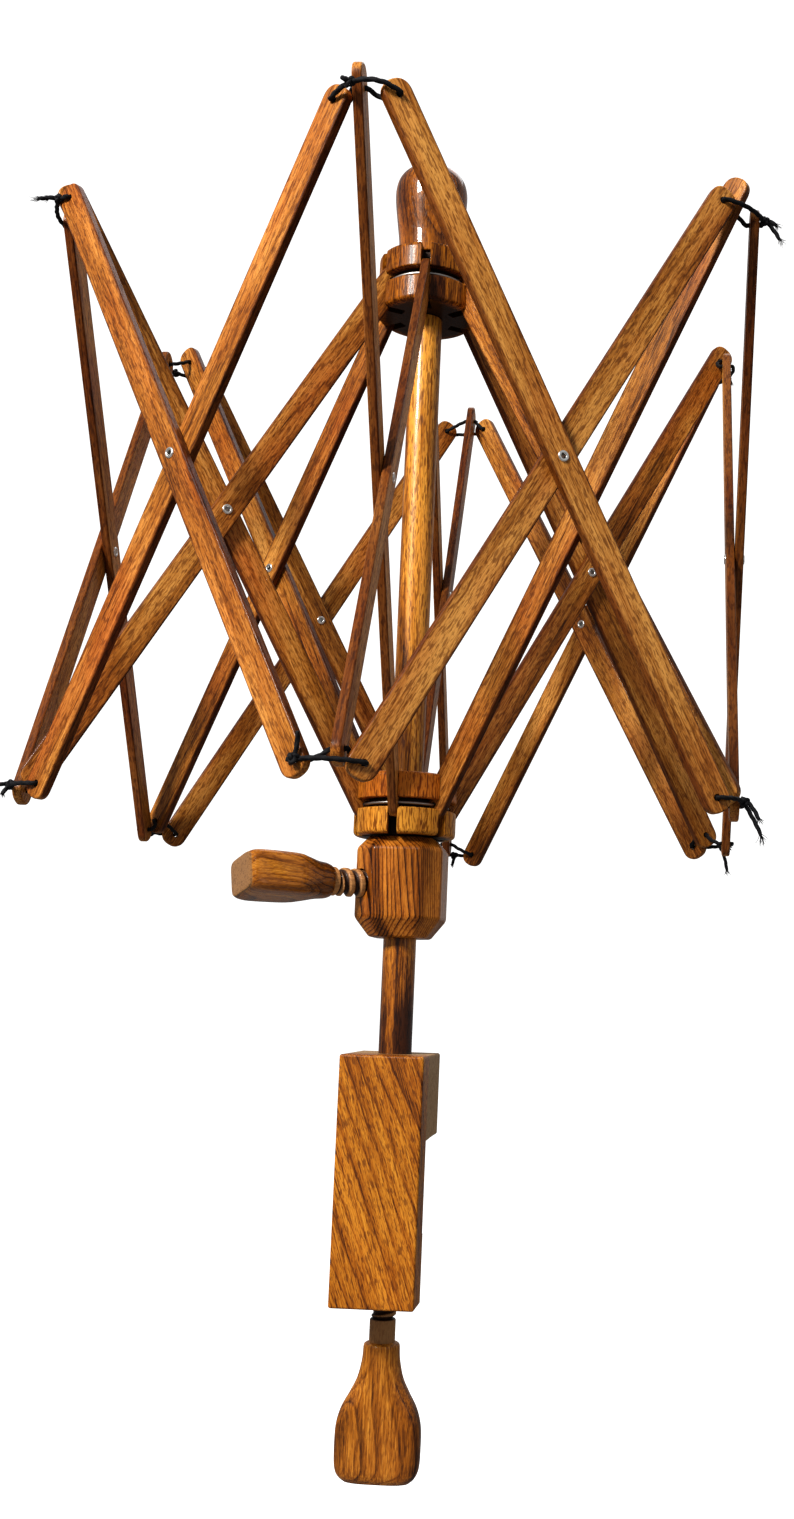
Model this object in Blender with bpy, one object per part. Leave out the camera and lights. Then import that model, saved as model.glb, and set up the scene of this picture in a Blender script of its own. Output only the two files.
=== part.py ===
"""Umbrella yarn swift: a clamp-on winder whose ribs open like an umbrella.

Metres, +Z up.  The origin is on the upright shaft's axis, at the underside of the
clamp's upper jaw (the face that rests on a table top).  The block faces -Y.

The ribs form an exact six-fold scissor: every slat has its holes at the same
spacing, every slat leans at the same angle, so the corners stay on one circle.
Azimuths are counted from -Y towards +X; corner k is at k * 60 degrees.
"""
import bpy
import bmesh
from math import sin, cos, pi, radians, atan2
from mathutils import Matrix, Vector

MM = 0.001
RIBS = 6

# --- scissor -------------------------------------------------------------
HOLE_SPACING = 331.0 * MM     # pivot hole to cord hole of every slat
LEAN = radians(60.0)          # slat angle above the level
PIVOT_R = 22.0 * MM           # hub pivots, from the shaft axis
CORNER_OFF = PIVOT_R / 2      # outer slats' holes, along the face from the corner
UPPER_PIVOT_Z = 458.5 * MM    # height of the upper hub's pivots
OUTER_SAG = 6.0 * MM          # the outer slats hang this much below the ribs' holes
SLAT_W = 14.0 * MM
SLAT_T = 4.5 * MM
RIB_TIP = 3.3 * MM            # extra length of an upward rib past its cord hole
SLAT_EASE = 0.7 * MM          # eased long edges
SIDE_GAP = 0.15 * MM          # half the gap between crossed slats
INNER_LAYER = 5.9 * MM        # inner outer-slat, off the face line
OUTER_LAYER = INNER_LAYER + SLAT_T + 0.3 * MM
WIRE_HOLE_R = 1.5 * MM
RIVET_HOLE_R = 2.1 * MM
CORD_HOLE_R = 1.6 * MM

# --- rivets and cords -----------------------------------------------------
RIVET_R = 1.75 * MM
RIVET_BORE_R = 0.95 * MM
RIVET_HEAD_R = 2.7 * MM
RIVET_HEAD_T = 0.65 * MM
CORD_R = 0.9 * MM
CORD_GAP = 0.35 * MM
KNOT_R = 2.5 * MM

# --- hubs -----------------------------------------------------------------
HUB_R = 26.8 * MM
HUB_HALF = 16.2 * MM
HUB_EASE = 1.6 * MM
SLOT_W = SLAT_T + 0.6 * MM
SLOT_FLOOR_R = 14.4 * MM
GROOVE_R = 20.3 * MM
GROOVE_H = 5.0 * MM
WIRE_R = 0.9 * MM
WIRE_RING_R = 22.2 * MM

# --- shaft, knob, collar --------------------------------------------------
SHAFT_R = 8.6 * MM
SPIGOT_R = 7.0 * MM
FIT = 0.3 * MM
SHAFT_Z0 = 12.3 * MM
SPIGOT_Z0 = UPPER_PIVOT_Z - HUB_HALF - FIT
SHAFT_Z1 = 490.0 * MM
KNOB_Z0 = UPPER_PIVOT_Z + HUB_HALF + FIT
KNOB_R = 19.8 * MM
KNOB_H = 53.5 * MM
COLLAR_W = 45.0 * MM
COLLAR_H = 52.5 * MM
COLLAR_CORNER = 10.0 * MM     # upright corner chamfers
COLLAR_TOP_CH = 6.5 * MM
COLLAR_BOT_CH = 10.0 * MM

# --- clamp ----------------------------------------------------------------
BLOCK_X0, BLOCK_X1 = -23.2 * MM, 19.6 * MM
BLOCK_Y0, BLOCK_Y1 = -30.0 * MM, 31.0 * MM
BLOCK_Z0, BLOCK_Z1 = -81.0 * MM, 43.0 * MM
NOTCH_Y = -11.0 * MM
LOWER_ARM_TOP = -46.0 * MM
LOWER_ARM_Y = 24.0 * MM       # the lower arm is a little shorter than the jaw
LOWER_ARM_IN = 5.2 * MM       # and narrower, on each side
CLAMP_X = (BLOCK_X0 + BLOCK_X1) / 2
CLAMP_Y = 9.0 * MM
THREAD_R = 7.0 * MM
THREAD_ROOT_R = 5.6 * MM
THREAD_PITCH = 5.5 * MM
CLAMP_BORE_R = 7.35 * MM
PAD_R = 11.0 * MM
PAD_T = 6.0 * MM
PAD_TOP = -30.0 * MM

# --- wooden screws with carved handles -------------------------------------
PADDLE_L = 69.0 * MM          # clamp screw's flat paddle
NECK_Z = -104.0 * MM
PADDLE_STATIONS = [           # (share of length, half width, half thickness, squareness), mm
    (0.00, 8.4, 8.4, 2.0), (0.02, 9.3, 9.3, 2.0), (0.12, 9.8, 9.2, 2.0), (0.25, 11.8, 8.9, 2.2),
    (0.36, 15.4, 8.7, 2.6), (0.47, 19.4, 8.6, 3.2), (0.60, 21.7, 8.6, 3.6), (0.78, 22.0, 8.6, 3.8),
    (0.90, 21.5, 8.4, 3.8), (0.96, 19.8, 7.5, 3.4), (1.00, 16.8, 5.7, 3.0)]
GRIP_L = 48.0 * MM            # collar screw's shorter, chunkier grip
GRIP_STATIONS = [
    (0.00, 8.4, 8.4, 2.0), (0.05, 9.2, 9.2, 2.0), (0.16, 9.8, 9.6, 2.4), (0.30, 11.6, 10.4, 3.6),
    (0.45, 12.8, 10.6, 6.0), (0.80, 13.2, 10.6, 7.5), (0.93, 12.9, 10.2, 7.0), (1.00, 11.8, 9.1, 6.0)]
SCREW_AZ = -52.0              # azimuth the collar screw points to, degrees
SCREW_ROLL = 14.0             # roll of its grip about its own axis, degrees
SCREW_Z = 130.0 * MM
SCREW_NECK = 42.5 * MM
SCREW_THREAD_R = 7.4 * MM
SCREW_ROOT_R = 6.0 * MM
SCREW_PITCH = 6.0 * MM
SCREW_BORE_R = 7.75 * MM

# derived
CORNER_R = PIVOT_R + HOLE_SPACING * cos(LEAN)
LOWER_PIVOT_Z = UPPER_PIVOT_Z - HOLE_SPACING * sin(LEAN)
COLLAR_Z1 = LOWER_PIVOT_Z - HUB_HALF - 0.4 * MM
COLLAR_Z0 = COLLAR_Z1 - COLLAR_H

for o in list(bpy.data.objects):
    bpy.data.objects.remove(o, do_unlink=True)


# --------------------------------------------------------------------------
def material(name, color, metallic=0.0, roughness=0.5):
    m = bpy.data.materials.new(name)
    m.use_nodes = True
    b = m.node_tree.nodes["Principled BSDF"]
    b.inputs["Base Color"].default_value = (*color, 1.0)
    b.inputs["Metallic"].default_value = metallic
    b.inputs["Roughness"].default_value = roughness
    m.diffuse_color = (*color, 1.0)
    return m


WOOD = (0.42, 0.19, 0.055)
DARK = (0.27, 0.11, 0.035)


def node(name, bm, mat, xf=None, world=False, smooth=False):
    """Object from a bmesh, placed by xf; world=True means the mesh is in row coordinates
    and only the object's origin moves to xf."""
    bmesh.ops.recalc_face_normals(bm, faces=bm.faces[:])
    if world and xf is not None:
        bmesh.ops.transform(bm, matrix=xf.inverted(), verts=bm.verts[:])
    me = bpy.data.meshes.new(name)
    bm.to_mesh(me)
    bm.free()
    if smooth:
        me.shade_smooth()
        me.set_sharp_from_angle(angle=radians(35))
    ob = bpy.data.objects.new(name, me)
    bpy.context.scene.collection.objects.link(ob)
    ob.data.materials.append(mat)
    if xf is not None:
        ob.matrix_world = xf
    return ob


def frame(k):
    """Unit vectors (outward, sideways) at corner k."""
    a = k * 2 * pi / RIBS
    return Vector((sin(a), -cos(a), 0)), Vector((cos(a), sin(a), 0))


def lathe(bm, prof, n=32, mat=None):
    """Revolve a closed (r, z) profile about Z; r = 0 makes a pole."""
    rings = []
    for r, z in prof:
        if r < 1e-9:
            rings.append([bm.verts.new((0, 0, z))])
        else:
            rings.append([bm.verts.new((r * cos(2 * pi * i / n), r * sin(2 * pi * i / n), z))
                          for i in range(n)])
    m = len(rings)
    loop = rings[0][0] is not None and not (len(rings[0]) == 1 and len(rings[-1]) == 1)
    for j in range(m if loop else m - 1):
        a, b = rings[j], rings[(j + 1) % m]
        for i in range(n):
            i2 = (i + 1) % n
            if len(a) == 1 and len(b) == 1:
                continue
            if len(a) == 1:
                bm.faces.new((a[0], b[i], b[i2]))
            elif len(b) == 1:
                bm.faces.new((a[i], b[0], a[i2]))
            else:
                bm.faces.new((a[i], b[i], b[i2], a[i2]))
    if mat is not None:
        bmesh.ops.transform(bm, matrix=mat, verts=bm.verts[:])
    return bm


def basis(origin, x, y, z):
    m = Matrix((x, y, z)).transposed().to_4x4()
    m.translation = origin
    return m


# --------------------------------------------------------------------------
# slats: drawn in their own frame, u along the slat from the first hole, v across,
# w through the thickness (centred); holes are closed tubes through the board
END_SEG = 6
HOLE_SEG = 8


def slat_mesh(holes, tip=0.0):
    """holes = [(u, radius)] in order along the board; tip lengthens the far end."""
    bm = bmesh.new()
    hw, ht, ease = SLAT_W / 2, SLAT_T / 2, SLAT_EASE
    u1 = holes[-1][0]

    def outline(inset):
        r = hw - inset
        pts = []
        for i in range(END_SEG + 1):
            a = pi / 2 + pi * i / END_SEG
            pts.append((r * cos(a), r * sin(a)))
        mids = [(h[0] + s) for h in holes[1:-1] for s in (-hw, hw)]
        for u in mids:
            pts.append((u, -r))
        for i in range(END_SEG + 1):
            a = -pi / 2 + pi * i / END_SEG
            pts.append((u1 + tip + r * cos(a), r * sin(a)))
        for u in reversed(mids):
            pts.append((u, r))
        return pts

    def ring(pts, w):
        return [bm.verts.new((p[0], p[1], w)) for p in pts]

    rings = [ring(outline(ease), -ht), ring(outline(0), -ht + ease),
             ring(outline(0), ht - ease), ring(outline(ease), ht)]
    n = len(rings[0])
    for a, b in zip(rings, rings[1:]):
        for i in range(n):
            j = (i + 1) % n
            bm.faces.new((a[i], a[j], b[j], b[i]))
    # faces: cells split between the holes so every face is simple
    tubes = []
    for u, r in holes:
        lo = [bm.verts.new((u + r * cos(2 * pi * i / HOLE_SEG), r * sin(2 * pi * i / HOLE_SEG), -ht))
              for i in range(HOLE_SEG)]
        hi = [bm.verts.new((u + r * cos(2 * pi * i / HOLE_SEG), r * sin(2 * pi * i / HOLE_SEG), ht))
              for i in range(HOLE_SEG)]
        for i in range(HOLE_SEG):
            j = (i + 1) % HOLE_SEG
            bm.faces.new((lo[i], hi[i], hi[j], lo[j]))
        tubes.append((lo, hi))
    for side, (outer, pick) in enumerate(((rings[0], 0), (rings[-1], 1))):
        edges = []
        for i in range(n):
            e = bm.edges.get((outer[i], outer[(i + 1) % n]))
            edges.append(e)
        for t in tubes:
            h = t[pick]
            for i in range(HOLE_SEG):
                edges.append(bm.edges.get((h[i], h[(i + 1) % HOLE_SEG])))
        bmesh.ops.triangle_fill(bm, use_beauty=True, use_dissolve=False, edges=edges)
    return bm


RADIAL_HOLES = [(0.0, WIRE_HOLE_R), (HOLE_SPACING / 2, RIVET_HOLE_R), (HOLE_SPACING, CORD_HOLE_R)]
FACE_HOLES = [(0.0, CORD_HOLE_R), (HOLE_SPACING / 2, RIVET_HOLE_R), (HOLE_SPACING, CORD_HOLE_R)]


def place_slat(name, k, start, end, across, mat, holes, tip=0.0):
    bm = slat_mesh(holes, tip)
    u = (end - start).normalized()
    w = across.normalized()
    v = w.cross(u).normalized()
    return node(name, bm, mat, basis(start, u, v, w))


Z = Vector((0, 0, 1))


def face_frame(k):
    """Chord direction from corner k to k+1 and the outward normal of that face."""
    a = (k + 0.5) * 2 * pi / RIBS
    return Vector((cos(a), sin(a), 0)), Vector((sin(a), -cos(a), 0))


RAD_OFF = SLAT_T / 2 + SIDE_GAP


def corner_point(k, side, layer, z):
    """Hole centre of an outer slat at corner k, in the face on the given side."""
    er, et = frame(k)
    chord, nrm = face_frame(k if side > 0 else k - 1)
    p = er * CORNER_R + chord * (CORNER_OFF * side) + nrm * layer
    return p + Z * z


ZU, ZL = UPPER_PIVOT_Z, LOWER_PIVOT_Z

for k in range(RIBS):
    er, et = frame(k)
    wood_a = material("wood_rib_a_%d" % k, WOOD, 0.0, 0.35)
    wood_b = material("wood_rib_b_%d" % k, WOOD, 0.0, 0.35)
    wood_c = material("wood_outer_c_%d" % k, WOOD, 0.0, 0.35)
    wood_d = material("wood_outer_d_%d" % k, WOOD, 0.0, 0.35)
    # ribs: A from the upper hub down to the low corner, B from the lower hub up
    off_a, off_b = et * RAD_OFF, et * -RAD_OFF
    place_slat("rib_down_%d" % k, k, er * PIVOT_R + Z * ZU + off_a, er * CORNER_R + Z * ZL + off_a,
               et, wood_a, RADIAL_HOLES)
    place_slat("rib_up_%d" % k, k, er * PIVOT_R + Z * ZL + off_b, er * CORNER_R + Z * ZU + off_b,
               et, wood_b, RADIAL_HOLES, RIB_TIP)
    # outer pairs in the face between corner k and k+1
    k2 = (k + 1) % RIBS
    chord, nrm = face_frame(k)
    place_slat("outer_down_%d" % k, k, corner_point(k, 1, OUTER_LAYER, ZU - OUTER_SAG),
               corner_point(k2, -1, OUTER_LAYER, ZL - OUTER_SAG), nrm, wood_c, FACE_HOLES)
    place_slat("outer_up_%d" % k, k, corner_point(k, 1, INNER_LAYER, ZL - OUTER_SAG),
               corner_point(k2, -1, INNER_LAYER, ZU - OUTER_SAG), nrm, wood_d, FACE_HOLES)


# --------------------------------------------------------------------------
# tubular rivets: a flanged tube through two crossed slats
def rivet(name, centre, axis, half):
    bm = bmesh.new()
    h0 = half + 0.25 * MM
    h1 = h0 + RIVET_HEAD_T
    prof = [(RIVET_R, -h0), (RIVET_HEAD_R, -h0), (RIVET_HEAD_R - 0.5 * MM, -h1), (RIVET_BORE_R, -h1 + 0.15 * MM),
            (RIVET_BORE_R, h1 - 0.15 * MM), (RIVET_HEAD_R - 0.5 * MM, h1), (RIVET_HEAD_R, h0), (RIVET_R, h0)]
    lathe(bm, prof, 10)
    z = axis.normalized()
    x = z.cross(Z).normalized()
    y = z.cross(x)
    return node(name, bm, STEEL, basis(centre, x, y, z), smooth=True)


STEEL = material("nickel", (0.72, 0.72, 0.72), 1.0, 0.25)
for k in range(RIBS):
    er, et = frame(k)
    mid = er * ((PIVOT_R + CORNER_R) / 2) + Z * ((ZU + ZL) / 2)
    rivet("rib_rivet_%d" % k, mid, et, SLAT_T + SIDE_GAP)
    chord, nrm = face_frame(k)
    k2 = (k + 1) % RIBS
    lay = (OUTER_LAYER + INNER_LAYER) / 2
    p = (corner_point(k, 1, lay, ZU - OUTER_SAG) + corner_point(k2, -1, lay, ZL - OUTER_SAG)) / 2
    rivet("outer_rivet_%d" % k, p, nrm, (OUTER_LAYER - INNER_LAYER + SLAT_T) / 2)


# --------------------------------------------------------------------------
# cord ties: one closed loop through the three holes of a corner, with a knot
def smooth_closed(pts, per=3):
    out = []
    n = len(pts)
    for i in range(n):
        p0, p1, p2, p3 = pts[i - 1], pts[i], pts[(i + 1) % n], pts[(i + 2) % n]
        for s in range(per):
            t = s / per
            out.append(0.5 * ((2 * p1) + (p2 - p0) * t + (2 * p0 - 5 * p1 + 4 * p2 - p3) * t * t
                              + (3 * p1 - p0 - 3 * p2 + p3) * t ** 3))
    return out


def open_bends(path, radii, keep):
    """Drop the sections of a closed path that would cross their neighbours on the inside of a tight bend."""
    items = [[p, r, i == keep] for i, (p, r) in enumerate(zip(path, radii))]
    for _ in range(20):
        n = len(items)
        tangent = [(items[(i + 1) % n][0] - items[i - 1][0]).normalized() for i in range(n)]
        worst, at = 0.12 * MM, None
        for i in range(n):
            j = (i + 1) % n
            step = items[j][0] - items[i][0]
            half_turn = tangent[i].angle(tangent[j]) / 2
            room = step.length - 2 * max(items[i][1], items[j][1]) * sin(half_turn)
            if room < worst:
                worst, at = room, (i, j)
        if at is None:
            break
        i, j = at
        # of the two, drop the one whose own neighbours turn less without it, never the knot
        drop = j if items[i][2] else i if items[j][2] else (
            i if (items[i][0] - items[i - 1][0]).length < (items[(j + 1) % n][0] - items[j][0]).length else j)
        items.pop(drop)
    at = next(i for i, it in enumerate(items) if it[2])
    return [it[0] for it in items], [it[1] for it in items], at


def tube_closed(bm, path, radii, seg=5):
    n = len(path)
    rings = []
    t0 = (path[1] - path[-1]).normalized()
    up = t0.orthogonal().normalized()
    first = up.copy()
    for i in range(n):
        t = (path[(i + 1) % n] - path[i - 1]).normalized()
        up = (up - t * up.dot(t)).normalized()
        side = t.cross(up)
        rings.append([up * cos(2 * pi * j / seg) + side * sin(2 * pi * j / seg) for j in range(seg)])
    # spread the closing twist over the loop
    u = (up - t0 * up.dot(t0)).normalized()
    err = atan2(t0.dot(u.cross(first)), u.dot(first))
    vs = []
    for i in range(n):
        tt = (path[(i + 1) % n] - path[i - 1]).normalized()
        rot = Matrix.Rotation(err * i / n, 3, tt)
        vs.append([bm.verts.new(path[i] + (rot @ d) * radii[i]) for d in rings[i]])
    faces = []
    for i in range(n):
        a, b = vs[i], vs[(i + 1) % n]
        for j in range(seg):
            j2 = (j + 1) % seg
            faces.append(bm.faces.new((a[j], a[j2], b[j2], b[j])))
    return faces


def grow_tail(bm, faces, around, direction, length, droop):
    """Replace the knot face that looks most along `direction` by a four-sided tail."""
    bm.normal_update()
    best = max(faces, key=lambda f: f.normal.dot(direction) - 400.0 * (f.calc_center_median() - around).length)
    loop = [v for v in best.verts]
    c = best.calc_center_median()
    bm.faces.remove(best)
    n = (direction - direction * 0).normalized()
    steps = 4
    prev = loop
    shape = [(v.co - c).normalized() * CORD_R * 1.15 for v in loop]
    for i in range(1, steps + 1):
        t = i / steps
        p = c + n * (length * t) + Vector((0, 0, -droop * t * t))
        r = 1.0 if i < steps else 0.75
        ring = [bm.verts.new(p + s * r) for s in shape]
        for j in range(4):
            j2 = (j + 1) % 4
            bm.faces.new((prev[j], prev[j2], ring[j2], ring[j]))
        prev = ring
    bm.faces.new(prev)


# which way each knot's tail points (outward, sideways, up), its length and its droop
TAILS = {
    ("high", 0): (0.7, -0.7, 0.1, 6.0, 1.0), ("high", 1): (0.75, 0.25, -0.6, 13.0, 6.0),
    ("high", 2): (0.8, 0.3, -0.5, 6.0, 2.0), ("high", 3): (0.8, -0.5, -0.3, 5.0, 1.0),
    ("high", 4): (0.8, -0.2, 0.5, 6.0, 1.0), ("high", 5): (0.9, -0.3, 0.1, 11.0, 2.0),
    ("low", 0): (0.6, -0.6, 0.5, 8.0, 0.0), ("low", 1): (0.5, 0.1, -0.8, 13.0, 5.0),
    ("low", 2): (0.5, 0.2, -0.8, 11.0, 4.0), ("low", 3): (0.6, 0.3, -0.7, 7.0, 2.0),
    ("low", 4): (0.7, -0.1, 0.4, 6.0, 1.0), ("low", 5): (0.9, -0.2, 0.2, 8.0, 2.0),
}


def tie(name, k, level):
    """One loop: in through the slat on one side, through the rib, out the other side, back in front."""
    er, et = frame(k)
    high = level == "high"
    z0 = ZU if high else ZL
    rib_off = -RAD_OFF if high else RAD_OFF
    lay_p = OUTER_LAYER if high else INNER_LAYER     # slat leaving towards k+1
    lay_m = INNER_LAYER if high else OUTER_LAYER     # slat arriving from k-1
    _, n_p = face_frame(k)
    _, n_m = face_frame(k - 1)
    hp = corner_point(k, 1, lay_p, z0 - OUTER_SAG)
    hm = corner_point(k, -1, lay_m, z0 - OUTER_SAG)
    hr = er * CORNER_R + Z * z0 + et * rib_off
    half = SLAT_T / 2
    c = CORD_R + CORD_GAP
    pts = []

    def side_path(h, n, sgn):
        """From outside the outer slat to just beside the rib."""
        inner = h - n * (half + c + 0.5 * MM)
        beside = hr + et * (sgn * (half + c)) - er * 0.5 * MM
        mid = (inner + beside) / 2 - n * 1.7 * MM
        return [h + n * (half + c + 0.5 * MM) - et * (sgn * 0.5 * MM), h + n * (half + 0.3 * MM), h - n * (half + 0.3 * MM),
                inner, mid, beside, hr + et * (sgn * (half + 0.2 * MM))]

    pts += side_path(hp, n_p, 1)
    pts += list(reversed(side_path(hm, n_m, -1)))
    front = (pts[0] + pts[-1]) / 2 + er * 6.5 * MM + Z * 1.0 * MM
    pts.append(pts[-1] * 0.62 + front * 0.38 + er * 1.6 * MM)
    knot_i = len(pts)
    pts.append(front)
    pts.append(pts[0] * 0.62 + front * 0.38 + er * 1.6 * MM)
    per = 2
    path = smooth_closed([Vector(p) for p in pts], per)
    radii = []
    for i in range(len(path)):
        d = abs(i - knot_i * per)
        d = min(d, len(path) - d)
        radii.append({0: KNOT_R, 1: KNOT_R * 0.8}.get(d, CORD_R))
    path, radii, knot_at = open_bends(path, radii, knot_i * per)
    bm = bmesh.new()
    faces = tube_closed(bm, path, radii)
    o, s, u, length, droop = TAILS[(level, k)]
    grow_tail(bm, faces, path[knot_at], (er * o + et * s + Z * u).normalized(), length * MM, droop * MM)
    return node(name, bm, CORD, Matrix.Translation(hr), world=True, smooth=True)


CORD = material("black_cord", (0.012, 0.012, 0.014), 0.0, 0.85)
for k in range(RIBS):
    for level in ("high", "low"):
        tie("tie_%s_%d" % (level, k), k, level)


# --------------------------------------------------------------------------
# hubs: a slotted, grooved disc
def boolean(ob, cutters, op="DIFFERENCE"):
    for c in cutters:
        m = ob.modifiers.new("cut", "BOOLEAN")
        m.operation = op
        m.solver = "EXACT"
        m.object = c
    bpy.context.view_layer.update()
    dg = bpy.context.evaluated_depsgraph_get()
    me = bpy.data.meshes.new_from_object(ob.evaluated_get(dg))
    ob.modifiers.clear()
    ob.data = me
    for c in cutters:
        bpy.data.objects.remove(c, do_unlink=True)
    return ob


def hub(name, z, bore, side, mat):
    bm = bmesh.new()
    g = GROOVE_H / 2
    e = HUB_EASE
    prof = [(bore, -HUB_HALF), (HUB_R - e, -HUB_HALF), (HUB_R, -HUB_HALF + e), (HUB_R, -g), (GROOVE_R, -g),
            (GROOVE_R, g), (HUB_R, g), (HUB_R, HUB_HALF - e), (HUB_R - e, HUB_HALF), (bore, HUB_HALF)]
    lathe(bm, prof, 36)
    ob = node(name, bm, mat)
    cutters = []
    for k in range(RIBS):
        er, et = frame(k)
        cb = bmesh.new()
        bmesh.ops.create_cube(cb, size=1.0)
        r0, r1 = SLOT_FLOOR_R, HUB_R + 6 * MM
        bmesh.ops.scale(cb, vec=(r1 - r0, SLOT_W, 2 * HUB_HALF + 8 * MM), verts=cb.verts[:])
        bmesh.ops.translate(cb, vec=((r0 + r1) / 2, side * RAD_OFF, 0), verts=cb.verts[:])
        bmesh.ops.transform(cb, matrix=basis(Vector((0, 0, 0)), er, et, Z), verts=cb.verts[:])
        cut = node("cut_%s_%d" % (name, k), cb, mat)
        cut.hide_render = True
        cut.display_type = "WIRE"
        cutters.append(cut)
    boolean(ob, cutters)
    ob.location = (0, 0, z)
    return ob


hub("upper_hub", ZU, SPIGOT_R + FIT, 1, material("wood_upper_hub", WOOD, 0.0, 0.3))
hub("lower_hub", ZL, SHAFT_R + FIT, -1, material("wood_lower_hub", WOOD, 0.0, 0.3))


def torus(name, R, r, z, mat, n=36, m=6):
    bm = bmesh.new()
    rings = []
    for i in range(n):
        a = 2 * pi * i / n
        rings.append([bm.verts.new(((R + r * cos(2 * pi * j / m)) * cos(a), (R + r * cos(2 * pi * j / m)) * sin(a),
                                    r * sin(2 * pi * j / m))) for j in range(m)])
    for i in range(n):
        a, b = rings[i], rings[(i + 1) % n]
        for j in range(m):
            j2 = (j + 1) % m
            bm.faces.new((a[j], b[j], b[j2], a[j2]))
    return node(name, bm, mat, Matrix.Translation((0, 0, z)), smooth=True)


WIRE = material("ring_wire", (0.45, 0.44, 0.42), 1.0, 0.35)
torus("upper_hub_wire", WIRE_RING_R, WIRE_R, ZU, WIRE)
torus("lower_hub_wire", WIRE_RING_R, WIRE_R, ZL, WIRE)

# --------------------------------------------------------------------------
# shaft with a shoulder under the upper hub
bm = bmesh.new()
lathe(bm, [(0, SHAFT_Z0), (SHAFT_R, SHAFT_Z0), (SHAFT_R, SPIGOT_Z0), (SPIGOT_R, SPIGOT_Z0),
           (SPIGOT_R, SHAFT_Z1 - 1 * MM), (SPIGOT_R - 1 * MM, SHAFT_Z1), (0, SHAFT_Z1)], 32)
node("shaft", bm, material("wood_shaft", DARK, 0.0, 0.35), smooth=True)

# turned knob, hollow below for the shaft's spigot
bm = bmesh.new()
zb = KNOB_Z0
sock = SPIGOT_R + FIT
KNOB_SHAPE = [(0.800, 0.0), (0.825, 0.015), (0.832, 0.08), (0.860, 0.24), (0.915, 0.40), (0.970, 0.56), (0.998, 0.68),
              (0.990, 0.77), (0.930, 0.855), (0.800, 0.925), (0.600, 0.970), (0.340, 0.993)]
lathe(bm, [(sock, zb)] + [(r * KNOB_R, zb + h * KNOB_H) for r, h in KNOB_SHAPE]
      + [(0, zb + KNOB_H), (0, SHAFT_Z1 + FIT), (sock, SHAFT_Z1 + FIT)], 30)
bmesh.ops.remove_doubles(bm, verts=bm.verts[:], dist=1e-7)
node("knob", bm, material("wood_knob", WOOD, 0.0, 0.2), Matrix.Translation((0, 0, KNOB_Z0)), world=True, smooth=True)

# --------------------------------------------------------------------------
# collar: a square block with chamfered corners, bored for the shaft and tapped for its screw
SCREW_DIR = Vector((sin(radians(SCREW_AZ)), -cos(radians(SCREW_AZ)), 0))


def chamfered_collar():
    bm = bmesh.new()
    h = COLLAR_W / 2

    def outline(inset):
        a = h - inset
        c = COLLAR_CORNER - inset * 0.586
        return [(a, -a + c), (a, a - c), (a - c, a), (-a + c, a), (-a, a - c), (-a, -a + c), (-a + c, -a), (a - c, -a)]

    levels = [(COLLAR_Z0, COLLAR_BOT_CH * 0.75), (COLLAR_Z0 + COLLAR_BOT_CH, 0), (COLLAR_Z1 - COLLAR_TOP_CH, 0),
              (COLLAR_Z1, COLLAR_TOP_CH * 0.9)]
    rings = [[bm.verts.new((x, y, z)) for x, y in outline(i)] for z, i in levels]
    for a, b in zip(rings, rings[1:]):
        for i in range(8):
            j = (i + 1) % 8
            bm.faces.new((a[i], a[j], b[j], b[i]))
    bm.faces.new(rings[0])
    bm.faces.new(rings[-1])
    return node("collar", bm, material("wood_collar", WOOD, 0.0, 0.3), Matrix.Translation((0, 0, COLLAR_Z0)), world=True)


def cyl_cutter(name, r, z0, z1, n, mat, xf=None):
    bm = bmesh.new()
    lathe(bm, [(0, z0), (r, z0), (r, z1), (0, z1)], n)
    if xf is not None:
        bmesh.ops.transform(bm, matrix=xf, verts=bm.verts[:])
    c = node(name, bm, mat)
    c.hide_render = True
    c.display_type = "WIRE"
    return c


side = Z.cross(SCREW_DIR)
SCREW_X = basis(Z * SCREW_Z, side, Z, SCREW_DIR)      # local z runs out along the screw
col = chamfered_collar()
cutmat = material("cutter", (1, 0, 0))
boolean(col, [cyl_cutter("cut_bore", SHAFT_R + FIT, COLLAR_Z0 - 5 * MM, COLLAR_Z1 + 5 * MM, 32, cutmat)])
boolean(col, [cyl_cutter("cut_tap", SCREW_BORE_R, 0.0, 40 * MM, 24, cutmat, SCREW_X)])


# --------------------------------------------------------------------------
# wooden screw: threaded shank and flat paddle handle in one piece
def thread_rings(z0, z1, root, crest, pitch, seg, per):
    """Rings of a single-start rounded thread, each (z, [radius per column])."""
    rings = []
    n = max(2, int(round((z1 - z0) / pitch * per)))
    for i in range(n + 1):
        z = z0 + (z1 - z0) * i / n
        row = []
        for j in range(seg):
            ph = (z - z0) / pitch - j / seg
            w = 0.5 - 0.5 * cos(2 * pi * ph)
            row.append(root + (crest - root) * w)
        rings.append((z, row))
    return rings


def grip_rings(z0, seg, length, stations):
    """Rounded-box cross-sections growing from the round neck."""
    out = []
    for t, a, b, p in stations:
        row = []
        for j in range(seg):
            th = 2 * pi * j / seg
            c, s = cos(th), sin(th)
            r = (abs(c / a) ** p + abs(s / b) ** p) ** (-1.0 / p)
            row.append((r * c * MM, r * s * MM))
        out.append((z0 + t * length, row))
    return out


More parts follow.
